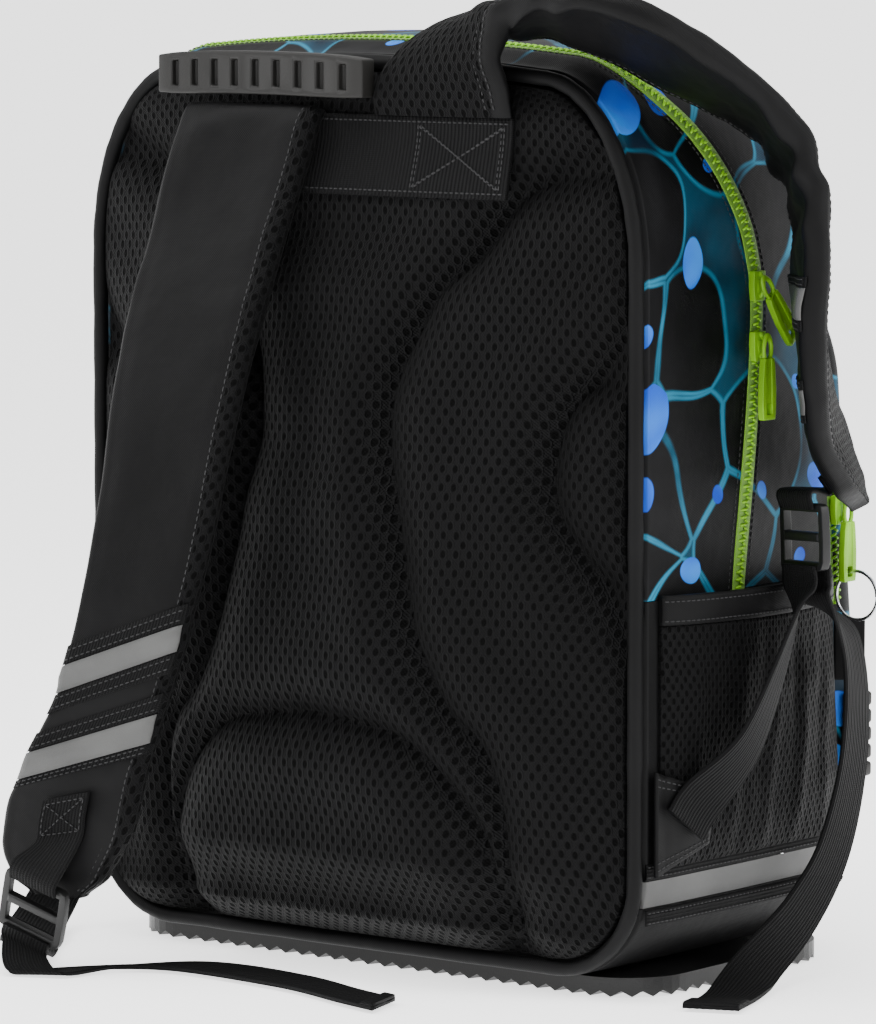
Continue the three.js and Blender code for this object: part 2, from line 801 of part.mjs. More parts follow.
function buildHandle() {
  const [cx, cy, cz] = fromShares([gripMiddle])[0];
  const rings = [];
  const stations = 10;
  for (let k = 0; k <= stations; k++) {
    const t = 2 * k / stations - 1;
    const end = Math.sqrt(1 - 0.55 * t ** 8);
    const half = [gripThickness / 2 * end, gripHeight / 2 * end];
    const ring = [];
    for (let i = 0; i < 12; i++) {
      const angle = 2 * Math.PI * (i + 0.5) / 12;
      const [c, d] = [Math.cos(angle), Math.sin(angle)];
      const y = cy + half[0] * Math.sign(c) * Math.abs(c) ** 0.5 + 3 * t * t;
      const z = cz + half[1] * Math.sign(d) * Math.abs(d) ** 0.5 - 1.5 * t * t;
      ring.push(new THREE.Vector3(cx + t * gripLength / 2, y, z));
    }
    rings.push(ring);
  }
  let grip = solid(loft(rings));
  const slotHalf = gripHeight * 0.32;
  for (let k = 0; k < gripSlots; k++) {
    const t = (k + 0.5) / gripSlots * 2 - 1;
    const x = cx + t * gripLength / 2 * 0.92;
    const face = cy - gripThickness / 2 + 3 * t * t;
    const z = cz - 1.5 * t * t;
    grip = grip.subtract(solid(box(x - 2.1, x + 2.1, face - 5, face + 2, z - slotHalf, z + slotHalf)));
  }
  add('handle_grip', surfaceOf(grip), gripRubber);
  for (const [hand, word] of [[-1, 'left'], [1, 'right']]) {
    const t = hand * 0.84;
    const x = cx + t * gripLength / 2;
    const y = cy + gripThickness / 2 + 3 * t * t + gap;
    const z = cz - 1.5 * t * t;
    const seam = yBack - gap - bellyAt(x, z - gripHeight / 2) - 4 * gap;
    const rows = [
      [x, y, z, 90, 90],
      [x, y + 0.5 * (seam - y), z + 1, 90, 90],
      [x, seam, z - 1, 90, 90],
    ].map(([px, py, pz]) => [px, py, pz, 0, 90, 1, 1]);
    add(`handle_leg_${word}`, ribbon(rows, gripHeight * 0.8, webbingThickness, 3), blackWebbing);
  }
}

// Ladder lock: a frame with two slots and three bars, in its own X and Z.
function lockGeometry() {
  const [w, h, t] = [lockWidth / 2, lockHeight / 2, lockThickness / 2];
  const corner = 4;
  const ring = (y) => [[1, -1], [1, 1], [-1, 1], [-1, -1]].flatMap(([sx, sz], k) => (
    cornerPoints(sx * (w - corner), sz * (h - corner), corner, corner, (k - 1) * Math.PI / 2, k * Math.PI / 2, 3)
      .map(([x, z]) => new THREE.Vector3(x, y, z))
  ));
  let frame = solid(loft([ring(-t), ring(t)]));
  const slotHalf = webbingWidth / 2 + 1;
  const slotHeight = (lockHeight - 3 * barWidth) / 2;
  for (const foot of [-h + barWidth, barWidth / 2]) {
    frame = frame.subtract(solid(box(-slotHalf, slotHalf, -t - 1, t + 1, foot, foot + slotHeight)));
  }
  return surfaceOf(frame);
}

// Middle of each lock in shares, then its turns about X, Y and Z in degrees.
const locks = {
  left: { at: [-0.69, -0.622, 0.072], turns: [12, 20, 4] },
  right: { at: [1.195, 0.46, 0.49], turns: [0, -3, -22] },
};

function lockTurn(word) {
  const [x, y, z] = locks[word].turns.map(THREE.MathUtils.degToRad);
  return new THREE.Euler(x, y, z);
}

function buildLock(word) {
  const mesh = add(`ladder_lock_${word}`, lockGeometry(), darkPlastic);
  const [x, y, z] = fromShares([locks[word].at])[0];
  mesh.position.set(x, y, z);
  mesh.rotation.copy(lockTurn(word));
}

function rowAt(point, across) {
  const turn = THREE.MathUtils.radToDeg(Math.atan2(across.y, across.x));
  const tilt = THREE.MathUtils.radToDeg(Math.asin(across.z));
  return [point.x, point.y, point.z, turn, tilt];
}

// A webbing row that lies over or behind a lock's bar: face -1 in front, 1 behind.
function lockRow(word, face, z) {
  const lie = lockThickness / 2 + webbingThickness / 2 + 3 * gap;
  const [x0, y0, z0] = fromShares([locks[word].at])[0];
  const point = new THREE.Vector3(0, face * lie, z).applyEuler(lockTurn(word));
  const across = new THREE.Vector3(1, 0, 0).applyEuler(lockTurn(word));
  return rowAt(point.add(new THREE.Vector3(x0, y0, z0)), across);
}

// A webbing row that lies on a wing.
function wingRow(hand, share, z, tilt) {
  const ahead = 0.02;
  const out = (s) => sidePocketOffset(s, z) + meshThickness * 1.4 + webbingThickness * 1.5 + 7 * gap;
  const point = onSide(hand, share, z, out(share));
  const slope = onSide(hand, share + ahead, z, out(share + ahead)).sub(point).normalize().multiplyScalar(-hand);
  const e = THREE.MathUtils.degToRad(tilt);
  return rowAt(point, slope.multiplyScalar(Math.cos(e)).setZ(-hand * Math.sin(e)));
}

// A webbing row on the strap's outer face at a share of its rows.
function strapRow(rows, share) {
  const f = ribbonFrames(rows, 240)[Math.round(240 * share)];
  const lie = strapThickness * f.thick / 2 + webbingThickness / 2 + 5 * gap;
  return rowAt(f.centre.clone().addScaledVector(f.out, -lie), f.across);
}

function webbingRows() {
  const over = lockHeight / 2 - barWidth * 0.7;
  const past = lockHeight / 2 + 5;
  const count = leftStrapRows.length - 1;
  return {
    lock_webbing_left: [
      ...[12.1, 12.6, 13.1].map((k) => strapRow(leftStrapRows, k / count)),
      lockRow('left', -1, past),
      lockRow('left', -1, over),
    ],
    lower_webbing_left: [
      lockRow('left', 1, -over),
      lockRow('left', 1, -past),
      ...fromShares([
        [-0.84, -0.5, 0.016, 25, -14],
        [-1.0, -0.3, 0.016, 45, -12],
        [-1.13, -0.06, 0.045, 70, -30],
      ]),
      wingRow(-1, 0.13, 72, -50),
      wingRow(-1, 0.1, 82, -50),
    ],
    tail_left: [
      lockRow('left', -1, -over),
      lockRow('left', -1, -past + 1),
      ...fromShares([
        [-0.64, -0.67, 0.005, 25, 0],
        [-0.56, -0.52, 0.005, 50, 0],
        [-0.36, -0.34, 0.005, 70, 0],
        [0.02, -0.345, 0.005, 98, 0],
        [0.3, -0.42, 0.005, 105, 0],
        [0.45, -0.455, 0.005, 105, 0],
      ]),
    ],
    lock_webbing_right: [
      ...[14.6, 15.1].map((k) => strapRow(rightStrapRows, k / (rightStrapRows.length - 1))),
      lockRow('right', -1, past),
      lockRow('right', -1, over),
    ],
    lower_webbing_right: [
      lockRow('right', -1, -over),
      lockRow('right', -1, -past - 1),
      ...fromShares([
        [1.225, 0.37, 0.4, -55, 20],
        [1.18, 0.24, 0.28, -72, 32],
      ]),
      wingRow(1, 0.15, 88, -38),
      wingRow(1, 0.1, 78, -38),
    ],
    tail_right: [
      lockRow('right', 1, -over),
      lockRow('right', 1, -past - 1),
      lockRow('right', 1, -past - 8),
      ...fromShares([
        [1.235, 0.62, 0.37, -70, -15],
        [1.225, 0.66, 0.26, -82, -4],
        [1.19, 0.62, 0.15, -88, 20],
        [1.15, 0.52, 0.08, -95, 38],
        [1.12, 0.36, 0.03, -120, 25],
        [1.14, 0.22, 0.006, -150, 0],
        [1.2, 0.03, 0.005, -158, 0],
      ]),
    ],
  };
}

function buildWebbing() {
  for (const [name, rows] of Object.entries(webbingRows())) {
    add(name, ribbon(rows, webbingWidth, webbingThickness, rows.length * 3 - 2), blackWebbing);
  }
}

// Small rounded block between two corners, in its own frame.
function block(sizeX, sizeY, sizeZ, corner) {
  const [w, h, t] = [sizeY / 2, sizeZ / 2, sizeX / 2];
  const ring = (x) => [[1, -1], [1, 1], [-1, 1], [-1, -1]].flatMap(([sy, sz], k) => (
    cornerPoints(sy * (w - corner), sz * (h - corner), corner, corner, (k - 1) * Math.PI / 2, k * Math.PI / 2, 2)
      .map(([y, z]) => new THREE.Vector3(x, y, z))
  ));
  return loft([ring(-t), ring(t)]);
}

// Slider with its puller hanging in front of it, on a zip that runs up the right side.
function buildSlider(word, x, y, z, swing) {
  const slider = add(`${word}_slider`, block(sliderHeight, sliderWidth, sliderLength, 3), limePlastic);
  slider.position.set(x + gap + sliderHeight / 2, y, z);
  const plate = block(pullerThickness, pullerWidth, pullerLength, 2.5);
  plate.translate(0, 0, -pullerLength / 2 + 4);
  const slot = solid(box(-pullerThickness, pullerThickness, -1.6, 1.6, -6, 1));
  const end = 4 - pullerLength;
  const eye = solid(box(-pullerThickness, pullerThickness, -1.5, 1.5, end + 1.4, end + 6.4));
  const puller = add(`${word}_puller`, surfaceOf(solid(plate).subtract(slot).subtract(eye)), limePlastic);
  puller.position.set(x + 2 * gap + sliderHeight + pullerThickness / 2, y, z);
  puller.rotation.x = THREE.MathUtils.degToRad(swing);
}

const lowerSliderShare = 0.69;
const upperSliderShare = 0.755;
const frontSliderHeight = 203;

function zipDepthAt(share) {
  for (let i = 1; i < mainZipRoute.length; i++) {
    const [d0, h0] = mainZipRoute[i - 1];
    const [d1, h1] = mainZipRoute[i];
    if (share <= h1) return d0 + (d1 - d0) * (share - h0) / (h1 - h0);
  }
  return mainZipRoute[0][0];
}

function buildZips() {
  for (const [word, share, swing] of [['lower', lowerSliderShare, 0], ['upper', upperSliderShare, 40]]) {
    const z = share * height;
    const d = zipDepthAt(share);
    buildSlider(word, sideFace(d), yBack + d * depthAt(z), z, swing);
  }
  const x = pocketHalfWidth + 0.15 * frontCorner;
  const share = 1 + (gap + zipWidth / 2) / depth;
  const y = yBack + share * depthAt(frontSliderHeight);
  buildSlider('front', x, y, frontSliderHeight, 0);
  const ring = new THREE.TorusGeometry(ringRadius, ringWire / 2, 6, 20);
  ring.rotateX(Math.PI / 2);
  const keyRing = add('key_ring', ring, steel);
  const end = frontSliderHeight + 4 - pullerLength;
  keyRing.position.set(x + gap + ringRadius + ringWire / 2, y, end + 4.1 - ringRadius * 0.92);
}

const tagLength = 28;
const tagReach = 14;
const tagThickness = 1.2;
const tagBelowSlider = 63;
const tagMiddle = frontSliderHeight - tagBelowSlider;

function buildSideTag() {
  const geometry = block(tagThickness, tagReach, tagLength, 0.6);
  geometry.rotateZ(THREE.MathUtils.degToRad(-52));
  const tag = add('side_tag', geometry, blackCloth);
  tag.position.set(pocketHalfWidth + tagReach / 2 + 0.5, yBack + depthAt(tagMiddle) + 3.3, tagMiddle);
}

// Ribbed rubber badge on the front pocket's side.
const fobHeight = 40;
const fobWidth = 16;
const fobThickness = 7;
const fobRibs = 5;
const fobBelowTag = 40;

function buildFob() {
  const middle = tagMiddle - fobBelowTag;
  const profile = [new THREE.Vector2(0, -fobHeight / 2)];
  for (let k = 0; k < fobRibs; k++) {
    for (const [out, t] of [[0.7, 0.08], [1, 0.3], [1, 0.7], [0.7, 0.92]]) {
      profile.push(new THREE.Vector2(fobThickness * out, fobHeight * ((k + t) / fobRibs - 0.5)));
    }
  }
  profile.push(new THREE.Vector2(0, fobHeight / 2));
  const rings = [-0.5, -0.35, 0.35, 0.5].map((share) => (
    profile.map((p) => new THREE.Vector3(p.x * (Math.abs(share) === 0.5 ? 0.6 : 1), share * fobWidth, p.y))
  ));
  const fob = add('fob', loft(rings), darkPlastic);
  const x = pocketHalfWidth + 0.15 * frontCorner + gap;
  fob.position.set(x, yBack + depthAt(middle) + gap + pocketDepth * 0.33, middle);
}

buildBody();
buildFrontPocket();
buildBasePlate();
buildBackPanel();
buildPiping();
for (const [hand, word] of [[-1, 'left'], [1, 'right']]) {
  buildSidePocket(hand, word);
  buildWing(hand, word);
  buildLock(word);
}
buildAnchorBand();
buildStraps();
buildHandle();
buildWebbing();
buildZips();
buildSideTag();
buildFob();

export default ransel;
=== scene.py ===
# School rucksack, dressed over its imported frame.
# Tables are in millimetres and in shares of the named sizes; meshes are in metres.
import math

import bmesh
import bpy
from mathutils import Matrix, Vector, noise


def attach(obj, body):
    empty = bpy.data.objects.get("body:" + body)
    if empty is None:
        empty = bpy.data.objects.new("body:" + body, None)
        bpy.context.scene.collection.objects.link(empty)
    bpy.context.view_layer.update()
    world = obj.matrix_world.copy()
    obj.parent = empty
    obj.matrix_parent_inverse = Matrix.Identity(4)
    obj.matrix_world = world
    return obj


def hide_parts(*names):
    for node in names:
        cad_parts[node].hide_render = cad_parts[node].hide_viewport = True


MM = 0.001

# Body
HALF_WIDTH = 155
DEPTH = 164
HEIGHT = 408
CROWN = 5
DOME = 9
SIDE_SWELL = 2
TOP_DEPTH_SHARE = 0.79
CORNER_WIDE = 55
CORNER_HIGH = 86
FOOT_CORNER = 45
FRONT_CORNER = 12
GAP = 0.3
PLATE_HEIGHT = 8.5
BOOT_TOP = 42
BAND_HEIGHT = 12
CLOTH_RIPPLE = 0.5

# Padded back
PANEL_EDGE = 5
PANEL_BELLY = 43
PIPING_RADIUS = 3.4
PANEL_CLEARANCE = 1
GROOVE_DEPTH = 8
GROOVE_HALF_WIDTH = 10
CREASE_WIDTH = 2.8
MESH_PITCH = 5.7
MESH_ROW = 4.1
MESH_HOLE_WIDE = 2.3
MESH_HOLE_HIGH = 3.7

# Zips
ZIP_WIDTH = 10
COIL_WIDTH = 5.4
COIL_PITCH = 1.7
SLIDER_LENGTH = 13
SLIDER_WIDTH = 9
SLIDER_HEIGHT = 5
PULLER_LENGTH = 36
PULLER_WIDTH = 11
PULLER_THICKNESS = 3
LOWER_SLIDER = 0.69
UPPER_SLIDER = 0.755
FRONT_SLIDER_Z = 203

# Pockets
POCKET_DEPTH = 27
POCKET_HALF_WIDTH = 147
POCKET_FLOOR = 58
POCKET_ROOF = 320
FRONT_ZIP_FOOT = 155
SIDE_POCKET_FLOOR = 59
SIDE_POCKET_ROOF = 178
SIDE_POCKET_SAG = 14
SIDE_POCKET_FROM = 0.05
SIDE_POCKET_TO = 0.92
HEM_HEIGHT = 13
MESH_THICKNESS = 1.6
WING_REACH = 0.21
WING_HEIGHT = 46
TAG_LENGTH = 28
TAG_REACH = 14
TAG_THICKNESS = 1.2
TAG_MIDDLE = 140
FOB_HEIGHT = 40
FOB_WIDTH = 16
FOB_THICKNESS = 7
FOB_RIBS = 5
FOB_MIDDLE = 100

# Harness
ANCHOR_HALF_WIDTH = 92
ANCHOR_FOOT = 347
ANCHOR_HEIGHT = 35
BAND_SEAT = 1.1
WEBBING_WIDTH = 25
WEBBING_THICKNESS = 1.8
STRAP_WIDTH = 70
STRAP_THICKNESS = 13
STRAP_MARGIN = 7
STRIPE_THICKNESS = 0.6
GRIP_LENGTH = 117
GRIP_HEIGHT = 19
GRIP_THICKNESS = 9
GRIP_SLOTS = 9
GRIP_BOW = 3
GRIP_DROP = 1.5
GRIP_SLOT_RUN = 0.92
LOCK_WIDTH = 34
LOCK_HEIGHT = 30
LOCK_THICKNESS = 4
BAR_WIDTH = 4
RING_RADIUS = 11
RING_WIRE = 1.6

Y_BACK = -DEPTH / 2
BODY_FLOOR = PLATE_HEIGHT + GAP

# Camera, from the photograph's angle
CAMERA_TURN = 38
CAMERA_RISE = 6
CAMERA_DISTANCE = 2800
CAMERA_AIM = (-12.92, -12.75, 198.17)
FRAME_HEIGHT = 1024 / 2.2


# Curves and tables

def clamp(value, low=0.0, high=1.0):
    return min(max(value, low), high)


def spline(points, t, tension=0.5):
    last = len(points) - 1
    place = clamp(t) * last
    k = min(int(place), last - 1)
    w = place - k
    a, b = points[k], points[k + 1]
    before = points[k - 1] if k > 0 else [2 * x - y for x, y in zip(a, b)]
    after = points[k + 2] if k + 2 <= last else [2 * y - x for x, y in zip(a, b)]
    out = []
    for p0, p1, p2, p3 in zip(before, a, b, after):
        m1 = tension * (p2 - p0)
        m2 = tension * (p3 - p1)
        cubic = (2 * p1 - 2 * p2 + m1 + m2) * w ** 3
        square = (3 * p2 - 3 * p1 - 2 * m1 - m2) * w ** 2
        out.append(cubic + square + m1 * w + p1)
    return out


def look_up(table, share):
    if share <= table[0][0]:
        return table[0][1]
    for (s0, v0), (s1, v1) in zip(table, table[1:]):
        if share <= s1:
            t = (share - s0) / (s1 - s0)
            return v0 + (v1 - v0) * t * t * (3 - 2 * t)
    return table[-1][1]


def straight(table, share):
    for (s0, v0), (s1, v1) in zip(table, table[1:]):
        if share <= s1:
            return v0 + (v1 - v0) * (share - s0) / (s1 - s0)
    return table[-1][1]


def ripple(point, scale, amount):
    return amount * noise.noise(Vector(point) / scale)


def depth_at(z):
    return DEPTH * (1 - (1 - TOP_DEPTH_SHARE) * z / HEIGHT)


def from_shares(rows):
    return [(x * HALF_WIDTH, Y_BACK + y * DEPTH, z * HEIGHT, *rest) for x, y, z, *rest in rows]


# Mesh makers

def make_piece(name, points, faces, corners=None, slots=None):
    mesh = bpy.data.meshes.new(name)
    mesh.from_pydata([Vector(p) * MM for p in points], [], faces)
    if corners:
        layer = mesh.uv_layers.new(name="UVMap")
        for polygon, coords in zip(mesh.polygons, corners):
            for loop, coord in zip(polygon.loop_indices, coords):
                layer.data[loop].uv = coord
    for k, polygon in enumerate(mesh.polygons):
        polygon.use_smooth = True
        if slots:
            polygon.material_index = slots[k]
    obj = bpy.data.objects.new(name, mesh)
    bpy.context.collection.objects.link(obj)
    turn_outwards(obj)
    return obj


def turn_outwards(obj):
    work = bmesh.new()
    work.from_mesh(obj.data)
    bmesh.ops.recalc_face_normals(work, faces=work.faces)
    work.to_mesh(obj.data)
    work.free()


def lengths_along(points, closed=False):
    total = [0.0]
    pairs = list(zip(points, points[1:]))
    if closed:
        pairs.append((points[-1], points[0]))
    for a, b in pairs:
        total.append(total[-1] + (Vector(b) - Vector(a)).length)
    return total


def loft(name, rings, slot_of=None, joined=False):
    """Skin over rings of equal length; u runs round the ring and v along the rings, in mm."""
    count = len(rings[0])
    points = [p for ring in rings for p in ring]
    middle = rings[len(rings) // 2]
    around = lengths_along(middle, True)
    centres = [sum((Vector(p) for p in ring), Vector()) / count for ring in rings]
    along = lengths_along(centres, joined)
    faces, corners, slots = [], [], []
    for r in range(len(rings) if joined else len(rings) - 1):
        here = r * count
        after = ((r + 1) % len(rings)) * count
        for i in range(count):
            j = (i + 1) % count
            faces.append((here + i, here + j, after + j, after + i))
            u0, u1 = around[i], around[i + 1]
            corners.append(((u0, along[r]), (u1, along[r]), (u1, along[r + 1]), (u0, along[r + 1])))
            slots.append(slot_of(i, r) if slot_of else 0)
    if not joined:
        for end, v in ((0, along[0]), (len(rings) - 1, along[-1])):
            base = end * count
            inner = []
            centre = centres[end]
            for p in rings[end]:
                inner.append(len(points))
                points.append(centre + (Vector(p) - centre) * 0.6)
            points.append(centre)
            for i in range(count):
                j = (i + 1) % count
                quad = (base + i, base + j, inner[j], inner[i])
                fan = (inner[i], inner[j], len(points) - 1)
                faces.append(quad)
                corners.append([(around[i], v)] * 4)
                faces.append(fan)
                corners.append([(around[i], v)] * 3)
                slots.extend([slot_of(i, end) if slot_of else 0] * 2)
    return make_piece(name, points, faces, corners, slots)


def cloth(name, nu, nv, surface, thickness):
    """Cloth with two faces: surface(u, v, out) gives a point, out in mm from the inner face."""
    points, flat = [], []
    row = nu + 1
    for out in (0, thickness):
        grid = [[Vector(surface(i / nu, j / nv, out)) for i in range(row)] for j in range(nv + 1)]
        u_at = [lengths_along(line) for line in grid]
        v_at = [lengths_along([line[i] for line in grid]) for i in range(row)]
        for j, line in enumerate(grid):
            for i, p in enumerate(line):
                points.append(p)
                flat.append((u_at[j][i] - u_at[j][-1] / 2, v_at[i][j]))
    faces = []
    shift = row * (nv + 1)
    for j in range(nv):
        for i in range(nu):
            a = j * row + i
            faces.append((a, a + row, a + row + 1, a + 1))
            faces.append((shift + a, shift + a + 1, shift + a + row + 1, shift + a + row))
    edge = list(range(nu)) + [j * row + nu for j in range(nv)]
    edge += [nv * row + i for i in range(nu, 0, -1)] + [j * row for j in range(nv, 0, -1)]
    for a, b in zip(edge, edge[1:] + edge[:1]):
        faces.append((a, b, shift + b, shift + a))
    corners = [[flat[k] for k in face] for face in faces]
    return make_piece(name, points, faces, corners)


def flat_size(nu, nv, surface):
    """Width and length in metres of the surface laid flat, from the mean of its lines."""
    grid = [[Vector(surface(i / nu, j / nv, 0)) for i in range(nu + 1)] for j in range(nv + 1)]
    wide = sum(lengths_along(line)[-1] for line in grid) / len(grid)
    long = sum(lengths_along([line[i] for line in grid])[-1] for i in range(nu + 1)) / (nu + 1)
    return wide * MM, long * MM


def add_rod(points, faces, rings):
    """Closes four rings of six points to one short rod, added to the points and faces."""
    base = len(points)
    for ring in rings:
        points.extend(ring)
    for r in range(3):
        for k in range(6):
            a = base + r * 6 + k
            b = base + r * 6 + (k + 1) % 6
            faces.append((a, b, b + 6, a + 6))
    faces.append([base + k for k in range(5, -1, -1)])
    faces.append([base + 18 + k for k in range(6)])


class Thread:
    """Stitches gathered into one piece: short threads half sunk in the cloth."""

    def __init__(self, name):
        self.name = name
        self.points = []
        self.faces = []

    def stitch(self, start, end, normal, radius):
        start, end = Vector(start), Vector(end)
        along = (end - start).normalized()
        side = along.cross(normal).normalized()
        up = side.cross(along)
        turns = [math.pi * k / 3 for k in range(6)]
        rings = []
        for share, size in ((0, 0.35), (0.2, 1), (0.8, 1), (1, 0.35)):
            centre = start.lerp(end, share) + up * radius * (size - 0.9)
            rings.append([centre + (side * math.cos(a) + up * math.sin(a)) * radius * size for a in turns])
        add_rod(self.points, self.faces, rings)

    def run(self, route, normals, pitch, length, radius, lift=0.1):
        total = lengths_along(route)
        count = max(1, int(total[-1] / pitch))
        for k in range(count):
            begin = (k + 0.2) * total[-1] / count
            a, n = self.at(route, normals, total, begin)
            b, _ = self.at(route, normals, total, begin + length)
            self.stitch(a + n * lift, b + n * lift, n, radius)

    @staticmethod
    def at(route, normals, total, place):
        place = clamp(place, 0, total[-1] - 1e-6)
        k = next(i for i in range(len(total) - 1) if total[i + 1] >= place)
        span = max(total[k + 1] - total[k], 1e-9)
        t = (place - total[k]) / span
        point = Vector(route[k]).lerp(Vector(route[k + 1]), t)
        normal = Vector(normals[k]).lerp(Vector(normals[k + 1]), t).normalized()
        return point, normal

    def piece(self):
        return make_piece(self.name, self.points, self.faces)


# Materials

class Value:
    """A socket of a look's node tree that Python's arithmetic works on."""

    def __init__(self, look, socket):
        self.look = look
        self.socket = socket

    def sum(self, operation, *others):
        links = {0: self}
        links.update({k + 1: other for k, other in enumerate(others)})
        return self.look.node("ShaderNodeMath", {"operation": operation}, links)

    def reversed_sum(self, operation, other):
        return self.look.node("ShaderNodeMath", {"operation": operation}, {0: other, 1: self})

    def __add__(self, other):
        return self.sum("ADD", other)

    def __sub__(self, other):
        return self.sum("SUBTRACT", other)

    def __mul__(self, other):
        return self.sum("MULTIPLY", other)

    def __truediv__(self, other):
        return self.sum("DIVIDE", other)

    def __pow__(self, other):
        return self.sum("POWER", other)

    def __rsub__(self, other):
        return self.reversed_sum("SUBTRACT", other)

    __radd__ = __add__
    __rmul__ = __mul__

    def part(self):
        return self.sum("FRACT")

    def whole(self):
        return self.sum("FLOOR")

    def size(self):
        return self.sum("ABSOLUTE")

    def wave(self):
        return self.sum("SINE")

    def root(self):
        return self.sum("SQRT")

    def least(self, other):
        return self.sum("MINIMUM", other)

    def step(self, low, high):
        settings = {"interpolation_type": "SMOOTHSTEP"}
        return self.look.node("ShaderNodeMapRange", settings, {0: self, 1: low, 2: high, 3: 0.0, 4: 1.0})


class Look:
    """One finish: its node tree, with one method that makes most of its nodes."""

    def __init__(self, name, color, roughness, **fixed):
        self.material = bpy.data.materials.new(name)
        self.material.use_nodes = True
        self.tree = self.material.node_tree
        self.shader = next(n for n in self.tree.nodes if n.type == "BSDF_PRINCIPLED")
        self.shader.inputs["Base Color"].default_value = (*color, 1)
        self.shader.inputs["Roughness"].default_value = roughness
        for socket, value in fixed.items():
            self.shader.inputs[socket.replace("_", " ")].default_value = value

    def node(self, kind, settings=None, inputs=None, output=0):
        made = self.tree.nodes.new(kind)
        for key, value in (settings or {}).items():
            setattr(made, key, value)
        for key, value in (inputs or {}).items():
            if isinstance(value, Value):
                self.tree.links.new(value.socket, made.inputs[key])
            else:
                made.inputs[key].default_value = value
        return Value(self, made.outputs[output])

    def place(self, output="Object"):
        return self.node("ShaderNodeTexCoord", output=output)

    def axes(self, output):
        split = self.tree.nodes.new("ShaderNodeSeparateXYZ")
        self.tree.links.new(self.place(output).socket, split.inputs[0])
        return [Value(self, s) for s in split.outputs]

    def grain(self, scale, detail, vector=None):
        place = vector or self.place()
        inputs = {"Vector": place, "Scale": scale, "Detail": detail, "Roughness": 0.5}
        return self.node("ShaderNodeTexNoise", {"noise_dimensions": "3D"}, inputs)

    def mix(self, factor, first, second):
        inputs = {0: factor, 6: as_color(first), 7: as_color(second)}
        return self.node("ShaderNodeMix", {"data_type": "RGBA"}, inputs, output=2)

    def set(self, socket, value):
        self.tree.links.new(value.socket, self.shader.inputs[socket])

    def bump(self, height, distance):
        inputs = {"Height": height, "Distance": distance, "Strength": 1.0}
        self.set("Normal", self.node("ShaderNodeBump", None, inputs))


def as_color(value):
    return value if isinstance(value, Value) else (*value, 1)


def tinted(color, share):
    return tuple(min(1, c * share) for c in color)


def air_mesh(name, share, depth):
    """Knitted mesh with oval holes in staggered rows, its pattern scaled by the share."""
    thread = (0.0021, 0.0021, 0.0023)
    pitch, row = MESH_PITCH * share, MESH_ROW * share
    look = Look(name, thread, 0.66, Specular_IOR_Level=0.08, Sheen_Weight=0.01, Sheen_Roughness=0.4)
    u, v, _ = look.axes("UV")
    jitter = (look.grain(60, 1) - 0.5) * 0.7
    u = u + jitter
    v = v + jitter * 0.6
    line = (v / row).whole()
    shift = (line * 0.5).part()
    x = ((u / pitch + shift).part() - 0.5) * pitch
    y = ((v / row).part() - 0.5) * row
    far = ((x / (MESH_HOLE_WIDE * share / 2)) ** 2 + (y / (MESH_HOLE_HIGH * share / 2)) ** 2).root()
    hole = 1 - far.step(0.72, 1.12)
    rim = 1 - (far - 1.35).size().step(0.0, 0.42)
    yarn = ((u * 5.2).wave() * (v * 4.1).wave()) * 0.12
    wear = look.grain(9, 3)
    shade = look.mix(wear.step(0.3, 0.75), tinted(thread, 0.75), tinted(thread, 1.35))
    # Painted highlight: the threads round each hole are painted lighter.
    shade = look.mix(rim * 0.45, shade, tinted(thread, 1.9))
    # Painted shade: the holes are painted near-black.
    look.set("Base Color", look.mix(hole, shade, (0.0004, 0.0004, 0.0004)))
    look.set("Roughness", hole * 0.35 + 0.55)
    look.bump(rim * 0.35 + (1 - hole) + yarn, depth)
    return look.material


def smooth_cloth(name, color, roughness):
    weave = 900
    look = Look(name, color, roughness, Specular_IOR_Level=0.1, Sheen_Weight=0.01, Sheen_Roughness=0.35)
    x, y, z = look.axes("Object")
    threads = ((x + y * 0.7) * weave * 6.28).wave() * ((z - y * 0.3) * weave * 6.28).wave()
    cloud = look.grain(14, 4)
    crease = look.grain(42, 3)
    look.set("Base Color", look.mix(cloud.step(0.3, 0.7), tinted(color, 0.72), tinted(color, 1.3)))
    look.set("Roughness", cloud * 0.16 + (roughness - 0.08))
    look.bump(threads * 0.05 + crease * 1.0 + cloud * 2.0, 0.0011)
    return look.material


def ribbed_webbing(name, rib):
    color = (0.003, 0.003, 0.0032)
    look = Look(name, color, 0.62, Specular_IOR_Level=0.09, Sheen_Weight=0.01)
    u, v, _ = look.axes("UV")
    ribs = (u * (6.2832 / rib)).wave()
    picks = (v * (6.2832 / 0.9) + ribs * 1.2).wave()
    cloud = look.grain(30, 3)
    # Painted shade and highlight: the grooves between the ribs are painted darker and the rib crests
    # lighter.
    shade = look.mix(ribs.step(-0.3, 1.0), tinted(color, 0.45), tinted(color, 1.7))
    look.set("Base Color", look.mix(cloud * 0.35, shade, tinted(color, 2.2)))
    look.set("Roughness", cloud * 0.2 + 0.52)
    look.bump(ribs * 0.6 + picks * 0.3, 0.0004)
    return look.material


